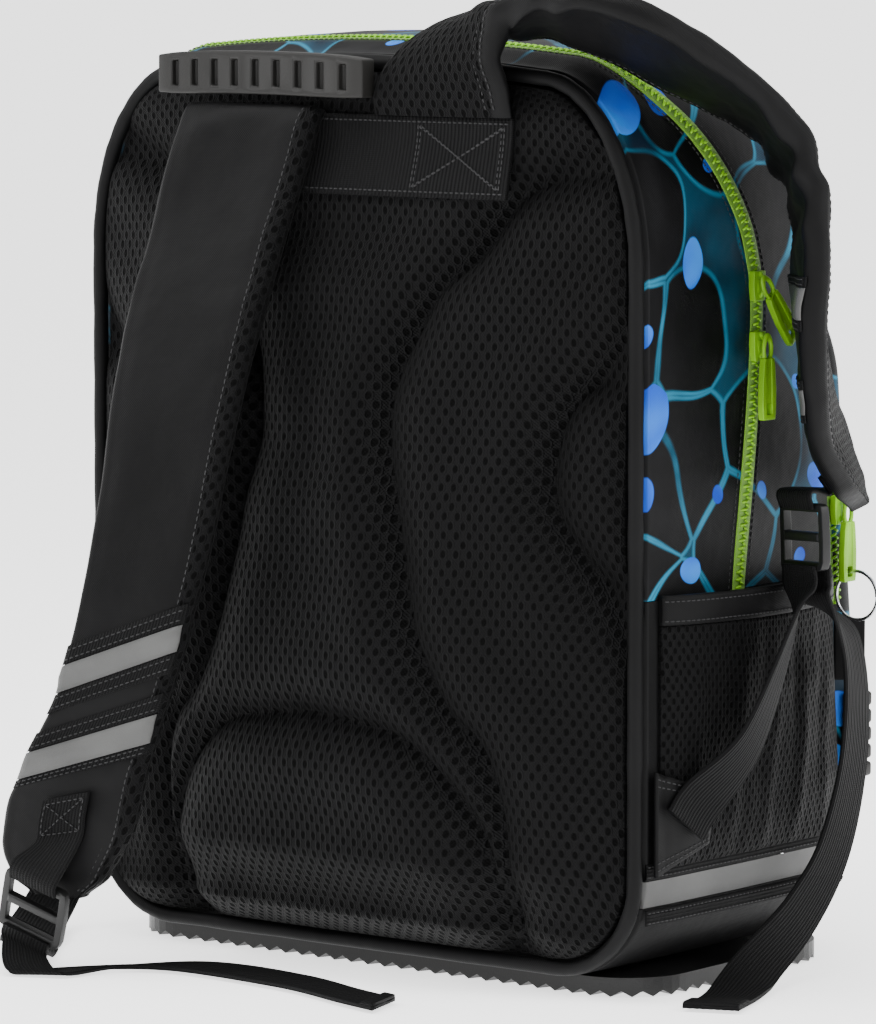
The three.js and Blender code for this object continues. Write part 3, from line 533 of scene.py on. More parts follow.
def printed_cloth(name):
    """Black ground with flowing teal ribbons between dark rounds, and blue pebbles and dots."""
    look = Look(name, (0.003, 0.003, 0.0035), 0.5, Specular_IOR_Level=0.12)
    place = look.node("ShaderNodeVectorMath", {"operation": "SCALE"}, {0: look.place("UV"), "Scale": MM})
    swirl = look.node("ShaderNodeTexNoise", None, {"Vector": place, "Scale": 16.0, "Detail": 1.0}, output=1)
    pushed = look.node("ShaderNodeVectorMath", {"operation": "SCALE"}, {0: swirl, "Scale": 0.03})
    warped = look.node("ShaderNodeVectorMath", {"operation": "ADD"}, {0: place, 1: pushed})
    flat = {"voronoi_dimensions": "2D"}
    cells = {"Vector": warped, "Scale": 19.0, "Randomness": 1.0}
    near = look.node("ShaderNodeTexVoronoi", {"feature": "F1", **flat}, cells)
    edge = look.node("ShaderNodeTexVoronoi", {"feature": "DISTANCE_TO_EDGE", **flat}, cells)
    neck = look.grain(18, 1, place) * 0.11 - 0.034
    inside = (0.6 - near).least(edge - neck)
    flow = 1 - inside.step(-0.004, 0.012)
    rim = 1 - (inside + 0.012).size().step(0.0, 0.036)
    cloud = look.grain(60, 3, place)
    ground = look.mix(cloud.step(0.3, 0.75), (0.0016, 0.0016, 0.0019), (0.0034, 0.0034, 0.004))
    deep = look.grain(26, 2, place)
    teal = look.mix(deep.step(0.35, 0.65), (0.0015, 0.008, 0.018), (0.005, 0.045, 0.08))
    shade = look.mix(flow, ground, teal)
    shade = look.mix(rim * (deep.step(0.3, 0.62) * 0.62 + 0.12), shade, (0.02, 0.21, 0.34))
    dots = {"Vector": warped, "Scale": 29.0, "Randomness": 0.85}
    middle = look.node("ShaderNodeTexVoronoi", {"feature": "F1", **flat}, dots)
    kind = look.node("ShaderNodeTexVoronoi", {"feature": "F1", **flat}, dots, output=1)
    split = look.tree.nodes.new("ShaderNodeSeparateColor")
    look.tree.links.new(kind.socket, split.inputs[0])
    pick = Value(look, split.outputs[0])
    size = Value(look, split.outputs[1]) ** 2 * 0.26 + 0.1
    pebble = (1 - (middle - size).step(-0.012, 0.012)) * (pick - 0.5).step(0.0, 0.01)
    tone = look.grain(34, 1, warped)
    blue = look.mix(tone.step(0.3, 0.7), (0.004, 0.045, 0.42), (0.03, 0.22, 0.72))
    look.set("Base Color", look.mix(pebble, shade, blue))
    x, y, z = look.axes("Object")
    threads = ((x + y) * 5600).wave() * (z * 5600).wave()
    look.set("Roughness", look.grain(20, 3) * 0.2 + 0.36)
    look.bump(threads * 0.06 + look.grain(38, 3) * 1.2, 0.0009)
    return look.material


def woven_tape(name, color):
    look = Look(name, color, 0.55, Sheen_Weight=0.2)
    u, v, _ = look.axes("UV")
    twill = ((u + v) * 7.5).wave()
    cloud = look.grain(50, 3)
    light = twill.step(-1.0, 1.0) * 0.6 + cloud * 0.4
    look.set("Base Color", look.mix(light, tinted(color, 0.6), color))
    look.bump(twill * 0.3, 0.0003)
    return look.material


def moulded(name, color, roughness):
    look = Look(name, color, roughness, Specular_IOR_Level=0.3)
    fine = look.grain(1800, 2)
    cloud = look.grain(35, 4)
    look.set("Base Color", look.mix(cloud.step(0.3, 0.7), tinted(color, 0.78), tinted(color, 1.18)))
    look.set("Roughness", cloud * 0.2 + (roughness - 0.1))
    look.bump(fine, 0.00012)
    return look.material


def reflective_tape(name):
    look = Look(name, (0.085, 0.085, 0.083), 0.42, Metallic=0.2)
    u, v, _ = look.axes("UV")
    weave = ((u + v) * 9).wave() * ((u - v) * 9).wave()
    cloud = look.grain(26, 4)
    scuff = look.grain(160, 3)
    shade = look.mix(cloud.step(0.25, 0.75), (0.06, 0.06, 0.059), (0.098, 0.098, 0.096))
    look.set("Base Color", look.mix(scuff.step(0.62, 0.72) * 0.5, shade, (0.08, 0.08, 0.08)))
    look.set("Roughness", cloud * 0.2 + 0.3)
    look.bump(weave * 0.3 + cloud, 0.00025)
    return look.material


def polished_steel(name):
    look = Look(name, (0.62, 0.63, 0.65), 0.2, Metallic=1.0)
    scratch = look.grain(220, 4)
    look.set("Roughness", scratch * 0.25 + 0.12)
    look.bump(scratch, 0.00003)
    return look.material


def make_looks():
    return {
        "black_cloth": smooth_cloth("black_cloth", (0.0038, 0.0038, 0.004), 0.5),
        "satin_cloth": smooth_cloth("satin_cloth", (0.0028, 0.0028, 0.003), 0.46),
        "mesh_cloth": air_mesh("mesh_cloth", 1.0, 0.0011),
        "fine_mesh": air_mesh("fine_mesh", 0.76, 0.0008),
        "print_cloth": printed_cloth("print_cloth"),
        "lime_tape": woven_tape("lime_tape", (0.17, 0.4, 0.012)),
        "lime_plastic": moulded("lime_plastic", (0.2, 0.46, 0.01), 0.36),
        "reflective_tape": reflective_tape("reflective_tape"),
        "dark_plastic": moulded("dark_plastic", (0.0075, 0.0075, 0.0075), 0.4),
        "grip_rubber": moulded("grip_rubber", (0.0085, 0.008, 0.0073), 0.52),
        "webbing": ribbed_webbing("webbing", 1.7),
        "band_webbing": ribbed_webbing("band_webbing", 1.9),
        "steel": polished_steel("steel"),
        "thread": moulded("thread", (0.02, 0.02, 0.021), 0.5),
    }


def finish_piece(obj, nodes, slot, *looks):
    """Puts the piece on its body, in place of its nodes, with its looks."""
    for look in looks or (slot,):
        obj.data.materials.append(LOOKS[look])
    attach(obj, "root")
    if nodes:
        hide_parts(*nodes)


# Body

def corner_points(cx, cz, rx, rz, start, end, steps):
    turns = [start + (end - start) * k / steps for k in range(steps + 1)]
    return [(cx + rx * math.cos(a), cz + rz * math.sin(a)) for a in turns]


def outline(half, floor, top, wide, high, foot, rise):
    """Rounded outline from the foot's middle up the right side and down the left, as x and z."""
    right = [(half * s, floor) for s in (0.1, 0.2, 0.3, 0.4, 0.5, 0.6)]
    right += corner_points(half - foot, floor + foot, foot, foot, -math.pi / 2, 0, 12)
    low, up = floor + foot, top - high
    right += [(half, low + (up - low) * k / 26) for k in range(1, 26)]
    right += corner_points(half - wide, up, wide, high, 0, math.pi / 2, 22)
    for k in range(1, 9):
        share = 1 - k / 9
        right.append(((half - wide) * share, top + rise * (1 - share ** 2)))
    left = [(-x, z) for x, z in reversed(right)]
    return [(0, floor), *right, (0, top + rise), *left]


def tangent_at(ring, k):
    """Direction of a closed ring of x and z at its point k."""
    after, before = ring[(k + 1) % len(ring)], ring[k - 1]
    return Vector((after[0] - before[0], 0, after[1] - before[1])).normalized()


def body_outline(inset, swell=0.0, lift=0.0):
    return outline(
        half=HALF_WIDTH + swell - inset,
        floor=BODY_FLOOR + inset,
        top=HEIGHT - CROWN + lift - inset,
        wide=CORNER_WIDE - min(inset, 20),
        high=CORNER_HIGH - inset,
        foot=FOOT_CORNER - inset,
        rise=CROWN,
    )


# Depth share, swell share, inset as a share of the front corner.
BODY_SECTIONS = [
    (0, 0, 0),
    (0.13, 0.65, 0),
    (0.45, 1, 0),
    (0.8, 0.7, 0),
    (0.93, 0.3, 0.12),
    (0.985, 0, 0.5),
    (1, 0, 1.3),
]


def swell_at(share):
    return look_up([(s, swell) for s, swell, _ in BODY_SECTIONS], share)


def body_ring(share, inset):
    swell = swell_at(share)
    ring = []
    for x, z in body_outline(inset, swell * SIDE_SWELL, swell * DOME):
        ring.append((x, Y_BACK + share * depth_at(z), z))
    return ring


def rippled(ring, share):
    """Soft waves of unfilled cloth between the seams."""
    room = math.sin(math.pi * clamp(share)) ** 0.5
    out = []
    for x, y, z in ring:
        hold = room * clamp((z - BOOT_TOP - BAND_HEIGHT) / 40)
        move = ripple((x, y, z), 46, CLOTH_RIPPLE) + ripple((x + 300, y, z), 17, CLOTH_RIPPLE * 0.35)
        out.append((x + math.copysign(move * hold, x), y, z + (move * hold if z > HEIGHT - 30 else 0)))
    return out


def body_rings():
    rings = []
    steps = 46
    for k in range(steps + 1):
        share, _, inset = spline(BODY_SECTIONS, k / steps, 0.4)
        share = clamp(share)
        rings.append(rippled(body_ring(share, max(inset, 0) * FRONT_CORNER), share))
    back = rings[0]
    front = rings[-1]

    def shrunk(ring, share):
        return [(x * share, y, HEIGHT / 2 + (z - HEIGHT / 2) * share) for x, y, z in ring]

    return [shrunk(back, s) for s in (0.5, 0.9)] + rings + [shrunk(front, s) for s in (0.9, 0.5)]


def cut_between(obj, low, high):
    work = bmesh.new()
    work.from_mesh(obj.data)
    for level, upward in ((low, True), (high, False)):
        if level is None:
            continue
        everything = work.verts[:] + work.edges[:] + work.faces[:]
        options = {"clear_inner": upward, "clear_outer": not upward}
        plane = {"plane_co": (0, 0, level * MM), "plane_no": (0, 0, 1)}
        bmesh.ops.bisect_plane(work, geom=everything, **plane, **options)
    work.to_mesh(obj.data)
    work.free()


def copied(obj, name):
    twin = obj.copy()
    twin.data = obj.data.copy()
    twin.name = name
    bpy.context.collection.objects.link(twin)
    return twin


# Where the print of the front and of its pocket begins on the cloth, in mm
FRONT_PRINT_SHIFT = 1300
POCKET_PRINT_SHIFT = 700


def make_body():
    upper = loft("body_cloth", body_rings())
    lay_front_flat(upper)
    boot = copied(upper, "boot_cloth")
    band = copied(upper, "reflective_strip")
    lower = copied(upper, "lower_cloth")
    print_floor = SIDE_POCKET_ROOF - 2
    cut_between(upper, print_floor, None)
    cut_between(lower, BOOT_TOP + BAND_HEIGHT + GAP, print_floor - GAP)
    cut_between(band, BOOT_TOP + GAP, BOOT_TOP + BAND_HEIGHT)
    cut_between(boot, None, BOOT_TOP)
    finish_piece(upper, ["body_shell"], "print_cloth")
    finish_piece(lower, [], "black_cloth")
    finish_piece(boot, ["boot"], "black_cloth")
    finish_piece(band, ["reflective_band"], "reflective_tape")
    edge_tapes()


def lay_front_flat(obj):
    """The print on the front lies as on a flat panel of its own."""
    layer = obj.data.uv_layers["UVMap"].data
    for polygon in obj.data.polygons:
        if polygon.normal.y < 0.6:
            continue
        for loop in polygon.loop_indices:
            x, _, z = obj.data.vertices[obj.data.loops[loop].vertex_index].co
            layer[loop].uv = (x / MM + FRONT_PRINT_SHIFT, z / MM)


def edge_tapes():
    """Narrow stitched tapes over both edges of the reflective strip."""
    seams = {}
    for word, middle in (("upper", BOOT_TOP + BAND_HEIGHT + 4.2), ("lower", BOOT_TOP - 4)):
        rows = []
        for side in (1, -1):
            for k in range(49):
                share = k / 48 if side > 0 else 1 - k / 48
                rows.append((side, share))
        rings = []
        for side, share in rows:
            x = side * (HALF_WIDTH + swell_at(share) * SIDE_SWELL - front_inset(share))
            ring = []
            for lift, out in ((-3.6, -0.5), (-3.2, 0.55), (0, 0.8), (3.2, 0.55), (3.6, -0.5)):
                z = middle + lift
                ring.append((x + side * out, Y_BACK + share * depth_at(z), z))
            rings.append(ring)
            if share < 1:
                for lift in (-2.2, 2.2):
                    z = middle + lift
                    key = (word, side, lift)
                    seams.setdefault(key, []).append((x + side * 0.75, Y_BACK + share * depth_at(z), z))
        tape = loft(f"edge_tape_{word}", rings)
        finish_piece(tape, [], "black_cloth", "webbing")
    for (_, side, _), route in seams.items():
        normals = [Vector((side, 0, 0))] * len(route)
        THREADS.run(route, normals, 2.8, 2.0, 0.3)


def front_inset(share):
    return straight([(s, corner) for s, _, corner in BODY_SECTIONS], share) * FRONT_CORNER


# Front pocket

POCKET_SECTIONS = [
    (0, 0),
    (0.35, -0.15),
    (0.62, 0),
    (0.84, 0.6),
    (0.96, 1.6),
    (1, 3.2),
]


def pocket_ring(share, corner):
    edge = corner * FRONT_CORNER
    face = DEPTH + GAP
    ring = outline(
        half=POCKET_HALF_WIDTH - edge,
        floor=POCKET_FLOOR + edge,
        top=POCKET_ROOF - CROWN - edge,
        wide=max(CORNER_WIDE * 0.8 - edge, 6),
        high=max(CORNER_HIGH * 0.65 - edge, 8),
        foot=max(FOOT_CORNER * 0.9 - edge, 4),
        rise=CROWN,
    )
    y_share = (face + share * POCKET_DEPTH) / DEPTH
    return [(x, Y_BACK + y_share * depth_at(z), z) for x, z in ring]


def lay_flat(obj, front_y):
    """The print's place in mm, as if the pocket's sides were folded out beside its front."""
    layer = obj.data.uv_layers["UVMap"].data
    for loop in obj.data.loops:
        x, y, z = (c / MM for c in obj.data.vertices[loop.vertex_index].co)
        back = front_y - y
        across = x + back * clamp(x / 60, -1, 1) + POCKET_PRINT_SHIFT
        layer[loop.index].uv = (across, z + back * clamp((z - 250) / 50))


def make_front_pocket():
    rings = []
    for k in range(31):
        share, corner = spline(POCKET_SECTIONS, k / 30, 0.4)
        ring = pocket_ring(share, corner)
        rings.append([(x, y + ripple((x, y, z), 40, 1.0) * share, z) for x, y, z in ring])
    front = rings[-1]
    middle = (POCKET_FLOOR + POCKET_ROOF) / 2
    for s in (0.9, 0.6, 0.3):
        rings.append([
            (x * s, y + ripple((x * s, y, z * s), 55, 1.6), middle + (z - middle) * s) for x, y, z in front
        ])
    pocket = loft("front_pocket_cloth", rings)
    lay_flat(pocket, max(y for _, y, _ in front))
    finish_piece(pocket, ["front_pocket"], "print_cloth")


# Padded back

BELLY_ROWS = [
    (0.03, 0),
    (0.075, 0.5),
    (0.15, 0.9),
    (0.25, 1),
    (0.37, 0.98),
    (0.5, 0.87),
    (0.61, 0.74),
    (0.735, 0.57),
    (0.83, 0.36),
    (0.93, 0.16),
    (0.985, 0),
]

# Grooves on the right half: x as a share of the half width, z as a share of the height.
WAIST_GROOVE = [
    (0.98, 0.907),
    (0.7, 0.87),
    (0.58, 0.843),
    (0.49, 0.79),
    (0.37, 0.747),
    (0.3, 0.7),
    (0.245, 0.647),
    (0.235, 0.588),
    (0.28, 0.517),
    (0.32, 0.444),
    (0.37, 0.373),
    (0.46, 0.306),
    (0.56, 0.267),
    (0.61, 0.194),
    (0.62, 0.06),
]
FLANK_GROOVE = [
    (1, 0.706),
    (0.91, 0.674),
    (0.79, 0.637),
    (0.74, 0.576),
    (0.755, 0.52),
    (0.84, 0.466),
    (0.94, 0.424),
    (1, 0.385),
]
LUMBAR_GROOVE = [
    (0, 0.294),
    (0.3, 0.275),
    (0.49, 0.214),
    (0.58, 0.14),
    (0.58, 0.05),
]
PANEL_INSET = 2 * PIPING_RADIUS + PANEL_CLEARANCE


def panel_half():
    return HALF_WIDTH - PANEL_INSET


def panel_half_at(z):
    foot = FOOT_CORNER - PANEL_INSET
    low = BODY_FLOOR + PANEL_INSET + foot - z
    if low > 0:
        return panel_half() - foot + math.sqrt(max(foot * foot - low * low, 0))
    high = CORNER_HIGH - PANEL_INSET
    wide = CORNER_WIDE - PANEL_INSET
    up = z - (HEIGHT - CROWN - PANEL_INSET - high)
    if up > 0:
        return panel_half() - wide + wide * math.sqrt(max(1 - (up / high) ** 2, 0))
    return panel_half()


def smooth_route(route):
    points = [spline(route, k / 60) for k in range(61)]
    return [(x * HALF_WIDTH, z * HEIGHT) for x, z in points]


def distance_to(route, x, z):
    best = 1e9
    for (ax, az), (bx, bz) in zip(route, route[1:]):
        dx, dz = bx - ax, bz - az
        t = clamp(((x - ax) * dx + (z - az) * dz) / (dx * dx + dz * dz))
        best = min(best, math.hypot(x - ax - t * dx, z - az - t * dz))
    return best


def belly_at(x, z):
    side = min(1, abs(x) / panel_half())
    return PANEL_EDGE + PANEL_BELLY * look_up(BELLY_ROWS, z / HEIGHT) * (1 - side ** 2.4)


def grooves():
    return [smooth_route(g) for g in (WAIST_GROOVE, FLANK_GROOVE, LUMBAR_GROOVE)]


def panel_grid(across, up):
    """Rows of points of the padded face without its grooves, and each point's nearest groove."""
    floor = BODY_FLOOR + PANEL_INSET
    top = HEIGHT - CROWN - PANEL_INSET
    routes = grooves()
    rows = []
    for j in range(up + 1):
        v = j / up
        z = floor + (top - floor) * (0.35 * (0.5 - 0.5 * math.cos(math.pi * v)) + 0.65 * v)
        row = []
        for i in range(across + 1):
            t = 2 * i / across - 1
            t = 0.86 * t + 0.14 * math.sin(math.pi * t / 2)
            x = t * panel_half_at(z)
            rise = CROWN * v ** 4 * max(0, 1 - (x / (HALF_WIDTH - CORNER_WIDE)) ** 2)
            near = min(distance_to(route, abs(x), z) for route in routes)
            row.append((Vector((x, Y_BACK - GAP - belly_at(x, z), z + rise)), near))
        rows.append(row)
    return rows


def make_back_panel():
    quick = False
    across, up = (90, 110) if quick else (190, 230)
    rows = panel_grid(across, up)
    u_at = [lengths_along([p for p, _ in row]) for row in rows]
    v_at = [lengths_along([row[i][0] for row in rows]) for i in range(across + 1)]
    points, flat = [], []
    for j, row in enumerate(rows):
        for i, (p, near) in enumerate(row):
            trough = 0.75 * math.exp(-((near / GROOVE_HALF_WIDTH) ** 2))
            crease = 0.6 * math.exp(-near / CREASE_WIDTH)
            sunk = GROOVE_DEPTH * (trough + crease)
            plump = 1.6 * math.exp(-(((near - 24) / 13) ** 2))
            edge = min(i, across - i, j, up - j) / 4
            wave = ripple(p, 34, 0.9) * clamp(edge / 3)
            y = p.y + sunk - (plump + wave) * clamp(edge)
            points.append((p.x, min(y, Y_BACK - GAP - 2), p.z))
            flat.append((u_at[j][i] - u_at[j][across] / 2, v_at[i][j]))
    faces = []
    for j in range(up):
        for i in range(across):
            a = j * (across + 1) + i
            faces.append((a, a + 1, a + across + 2, a + across + 1))
    edge = list(range(across)) + [j * (across + 1) + across for j in range(up)]
    edge += [up * (across + 1) + i for i in range(across, 0, -1)]
    edge += [j * (across + 1) for j in range(up, 0, -1)]
    first = len(points)
    for a in edge:
        points.append((points[a][0], Y_BACK - GAP, points[a][2]))
        flat.append(flat[a])
    for k, a in enumerate(edge):
        n = (k + 1) % len(edge)
        faces.append((edge[n], a, first + k, first + n))
    points.append((0, Y_BACK - GAP, HEIGHT / 2))
    flat.append((0, 0))
    for k in range(len(edge)):
        faces.append((first + (k + 1) % len(edge), first + k, len(points) - 1))
    corners = [[flat[k] for k in face] for face in faces]
    panel = make_piece("back_pad", points, faces, corners)
    finish_piece(panel, ["back_panel"], "mesh_cloth")


def make_piping():
    route = body_outline(PIPING_RADIUS)
    side = Vector((0, 1, 0))
    rings = []
    for i, (x, z) in enumerate(route):
        out = tangent_at(route, i).cross(side)
        centre = Vector((x, Y_BACK - GAP - PIPING_RADIUS, z))
        radius = PIPING_RADIUS * (1 + 0.04 * math.sin(i * 2.1) + ripple((x, 0, z), 9, 0.06))
        ring = []
        for k in range(16):
            a = math.pi * k / 8
            ring.append(centre + out * radius * math.cos(a) + side * radius * math.sin(a))
        rings.append(ring)
    piping = loft("piping", rings, joined=True)
    finish_piece(piping, ["panel_piping"], "black_cloth")


# Side pockets and wings

def side_face(share):
    rows = [(s, swell * SIDE_SWELL - corner * FRONT_CORNER) for s, swell, corner in BODY_SECTIONS]
    return HALF_WIDTH + straight(rows, share)


def side_pocket_offset(share, z):
    u = (share - SIDE_POCKET_FROM) / (SIDE_POCKET_TO - SIDE_POCKET_FROM)
    v = (z - SIDE_POCKET_FLOOR) / (SIDE_POCKET_ROOF - SIDE_POCKET_FLOOR)
    if u <= 0 or u >= 1 or v <= 0:
        return 0.0
    return SIDE_POCKET_SAG * math.sin(math.pi * u) ** 0.7 * min(1, v * 1.6) ** 0.6


def on_side(hand, share, z, out):
    return Vector((hand * (side_face(share) + out), Y_BACK + share * depth_at(z), z))


def gathers(hand, share, z):
    """Folds that fall from the gathered hem."""
    v = clamp((z - SIDE_POCKET_FLOOR) / (SIDE_POCKET_ROOF - SIDE_POCKET_FLOOR))
    u = clamp((share - SIDE_POCKET_FROM) / (SIDE_POCKET_TO - SIDE_POCKET_FROM))
    lean = 0.35 * (1 - v)
    fold = math.sin(2 * math.pi * (5.2 * u + lean + 0.4 * hand))
    fold += 0.5 * math.sin(2 * math.pi * (11 * u - lean))
    free = math.sin(math.pi * u) ** 0.6 * math.sin(math.pi * clamp(v * 0.9 + 0.1)) ** 0.7
    return (0.9 * fold + ripple((share * 160, z, hand * 50), 22, 2.4)) * free


def make_side_pocket(hand, word):
    hem_floor = SIDE_POCKET_ROOF - HEM_HEIGHT

    def at(share_from, share_to, low, high, u, v, out, folded):
        share = share_from + (share_to - share_from) * u
        z = low + (high - low) * v
        lift = GAP + side_pocket_offset(share, z) + out
        return on_side(hand, share, z, lift + max(folded * gathers(hand, share, z), -2.0))

    def net(u, v, out):
        fade = clamp((1 - v) * 6) * 0.7 + 0.3
        return at(SIDE_POCKET_FROM, SIDE_POCKET_TO, SIDE_POCKET_FLOOR, hem_floor - GAP, u, v, out, fade)

    def hem(u, v, out):
        swollen = out + (0.5 * math.sin(math.pi * v) if out > 0 else 0)
        return at(SIDE_POCKET_FROM, SIDE_POCKET_TO, hem_floor, SIDE_POCKET_ROOF, u, v, swollen, 0.3)

    pocket = cloth(f"side_net_{word}", 96, 60, net, MESH_THICKNESS)
    finish_piece(pocket, [f"side_pocket_{word}"], "mesh_cloth", "fine_mesh")
    border = cloth(f"side_hem_{word}", 96, 8, hem, MESH_THICKNESS * 1.4)
    finish_piece(border, [f"pocket_hem_{word}"], "webbing", "black_cloth")
    flat_size(40, 20, net)
    flat_size(40, 4, hem)
    for v in (0.14, 0.8):
        route = [hem(k / 60, v, MESH_THICKNESS * 1.4) for k in range(61)]
        THREADS.run(route, [Vector((hand, 0, 0))] * len(route), 2.6, 1.9, 0.3, 0.15)


def make_wing(hand, word):
    floor = BOOT_TOP + BAND_HEIGHT + 2
    top = floor + WING_HEIGHT

    def surface(u, v, out):
        share = 0.01 + WING_REACH * u
        half = (top - floor) / 2 * (1 - 0.5 * u)
        z = (floor + top) / 2 + (2 * v - 1) * half
        lift = side_pocket_offset(share, z) + MESH_THICKNESS * 1.4 + 2 * GAP + out
        return on_side(hand, share, z, lift)

    wing = cloth(f"wing_cloth_{word}", 24, 24, surface, WEBBING_THICKNESS)
    finish_piece(wing, [f"wing_{word}"], "black_cloth", "satin_cloth")
    wide, long = flat_size(12, 12, surface)
    for v in (0.06, 0.13, 0.87, 0.94):
        route = [surface(k / 24, v, WEBBING_THICKNESS) for k in range(25)]
        THREADS.run(route, [Vector((hand, 0, 0))] * len(route), 2.8, 2.0, 0.28)
    for u in (0.86, 0.95):
        route = [surface(u, 0.06 + 0.88 * k / 16, WEBBING_THICKNESS) for k in range(17)]
        THREADS.run(route, [Vector((hand, 0, 0))] * len(route), 2.8, 2.0, 0.28)


# Zips

MAIN_ZIP_ROUTE = [
    (0.425, 0.404),
    (0.445, 0.46),
    (0.515, 0.6),
    (0.56, 0.735),
    (0.53, 0.8),
    (0.45, 0.86),
    (0.34, 0.92),
    (0.23, 0.965),
    (0.165, 1.0),
    (0.15, 1.06),
]


def zip_route():
    """Middle line of the main zip up the right side, over the top and down the left."""
    route, normals = [], []
    table = [(h, d) for d, h in (spline(MAIN_ZIP_ROUTE, k / 120) for k in range(121))]
    seed = body_outline(0, SIDE_SWELL, DOME)
    for x0, z0 in seed:
        if z0 < MAIN_ZIP_ROUTE[0][1] * HEIGHT + 2:
            continue
        share = straight(table, z0 / HEIGHT)
        ring = body_outline(0, swell_at(share) * SIDE_SWELL, swell_at(share) * DOME)
        k = seed.index((x0, z0))
        x, z = ring[k]
        route.append(Vector((x, Y_BACK + straight(table, z / HEIGHT) * depth_at(z), z)))
        normals.append(tangent_at(ring, k).cross(Vector((0, 1, 0))) * -1)
    centre = Vector((0, 0, HEIGHT / 2))
    normals = [n if n.dot(p - centre) > 0 else -n for n, p in zip(normals, route)]
    return route, normals


def refine(route, normals, spacing):
    total = lengths_along(route)
    count = int(total[-1] / spacing)
    fine, ups = [], []
    for k in range(count + 1):
        p, n = Thread.at(route, normals, total, total[-1] * k / count)
        fine.append(p)
        ups.append(n)
    return fine, ups


def make_zip(name, node, route, normals, stitched):
    """Tape with a coil of teeth along a route."""
    fine, ups = refine(route, normals, 3.5)
    sides = []
    for k, n in enumerate(ups):
        along = (fine[min(k + 1, len(fine) - 1)] - fine[max(k - 1, 0)]).normalized()
        sides.append(along.cross(n).normalized())
    half = ZIP_WIDTH / 2 - GAP
    profile = [
        (-half, -0.6), (-half, 0.35), (-half + 0.5, 0.7), (-COIL_WIDTH / 2, 0.55), (0, 0.5),
        (COIL_WIDTH / 2, 0.55), (half - 0.5, 0.7), (half, 0.35), (half, -0.6),
    ]
    rings = [[p + side * a + n * b for a, b in profile] for p, n, side in zip(fine, ups, sides)]
    tape = loft(f"{name}_tape", rings)
    finish_piece(tape, [node], "lime_tape")
    make_coil(name, fine, ups)
    if stitched:
        for edge in (-1, 1):
            line = [p + side * edge * (ZIP_WIDTH / 2 + 2.2) for p, side in zip(fine, sides)]
            THREADS.run(line, ups, 2.9, 2.1, 0.28, 0.15)


def make_coil(name, route, normals):
    total = lengths_along(route)
    count = int(total[-1] / COIL_PITCH)
    turns = [math.pi * i / 3 for i in range(6)]
    points, faces = [], []
    for k in range(count):
        place = (k + 0.5) * COIL_PITCH
        p, n = Thread.at(route, normals, total, place)
        q, _ = Thread.at(route, normals, total, place + 0.5)
        along = (q - p).normalized()
        side = along.cross(n).normalized()
        hand = 1 if k % 2 else -1
        start = p + side * hand * COIL_WIDTH * 0.5 + n * 0.55 - along * 0.5
        end = p - side * hand * 0.5 + n * 1.35 + along * 0.5
        rings = []
        for share, size, rise in ((0, 0.5, 0), (0.3, 0.72, 0.4), (0.75, 0.72, 0.3), (1, 0.5, -0.1)):
            centre = start.lerp(end, share) + n * rise
            rings.append([centre + (along * math.cos(a) + n * math.sin(a)) * size for a in turns])
        add_rod(points, faces, rings)
    coil = make_piece(f"{name}_coil", points, faces)
    finish_piece(coil, [], "lime_tape", "lime_plastic")


def front_zip_route():
    route, normals = [], []
    ring = [(x, z) for x, _, z in pocket_ring(0, 0)]
    for k, (x, z) in enumerate(ring):
        if z < FRONT_ZIP_FOOT + 4:
            continue
        normal = tangent_at(ring, k).cross(Vector((0, 1, 0)))
        if normal.dot(Vector((x, 0, z - HEIGHT / 2))) < 0:
            normal = -normal
        share = (DEPTH + GAP + ZIP_WIDTH / 2) / DEPTH
        route.append(Vector((x, Y_BACK + share * depth_at(z), z)) + normal * 0.15)
        normals.append(normal)
    return route, normals


def make_zips():
    route, normals = zip_route()
    make_zip("main_zip", "main_zip_tape", route, normals, True)
    route, normals = front_zip_route()
    make_zip("front_zip", "front_zip_tape", route, normals, False)


# Straps and webbing: x, y, z shares, turn, tilt, width share, thickness share.

LEFT_STRAP = from_shares([
    (-0.285, -0.128, 0.94, 3, 0, 1.06, 0.7),
    (-0.29, -0.155, 0.922, 4, 1, 1.06, 1),
    (-0.315, -0.208, 0.85, 5, 2, 1.05, 1),
    (-0.33, -0.27, 0.78, 5, 4, 1.03, 1),
    (-0.34, -0.335, 0.709, 7, 6, 1.02, 1),
    (-0.345, -0.39, 0.639, 9, 10, 0.98, 1),
    (-0.352, -0.45, 0.54, 10, 16, 0.95, 1),
    (-0.367, -0.505, 0.441, 11, 20, 0.95, 1),
    (-0.411, -0.534, 0.364, 12, 20, 0.95, 1),
    (-0.426, -0.546, 0.336, 12, 20, 0.96, 1),
    (-0.507, -0.558, 0.268, 11, 18, 1.04, 1),
    (-0.536, -0.564, 0.237, 11, 17, 1.05, 1),
    (-0.574, -0.567, 0.205, 10, 14, 1.05, 1),
    (-0.605, -0.567, 0.155, 8, 9, 1, 1),
    (-0.64, -0.563, 0.11, 8, 3, 0.75, 0.9),
    (-0.65, -0.56, 0.085, 8, 0, 0.4, 0.7),
])

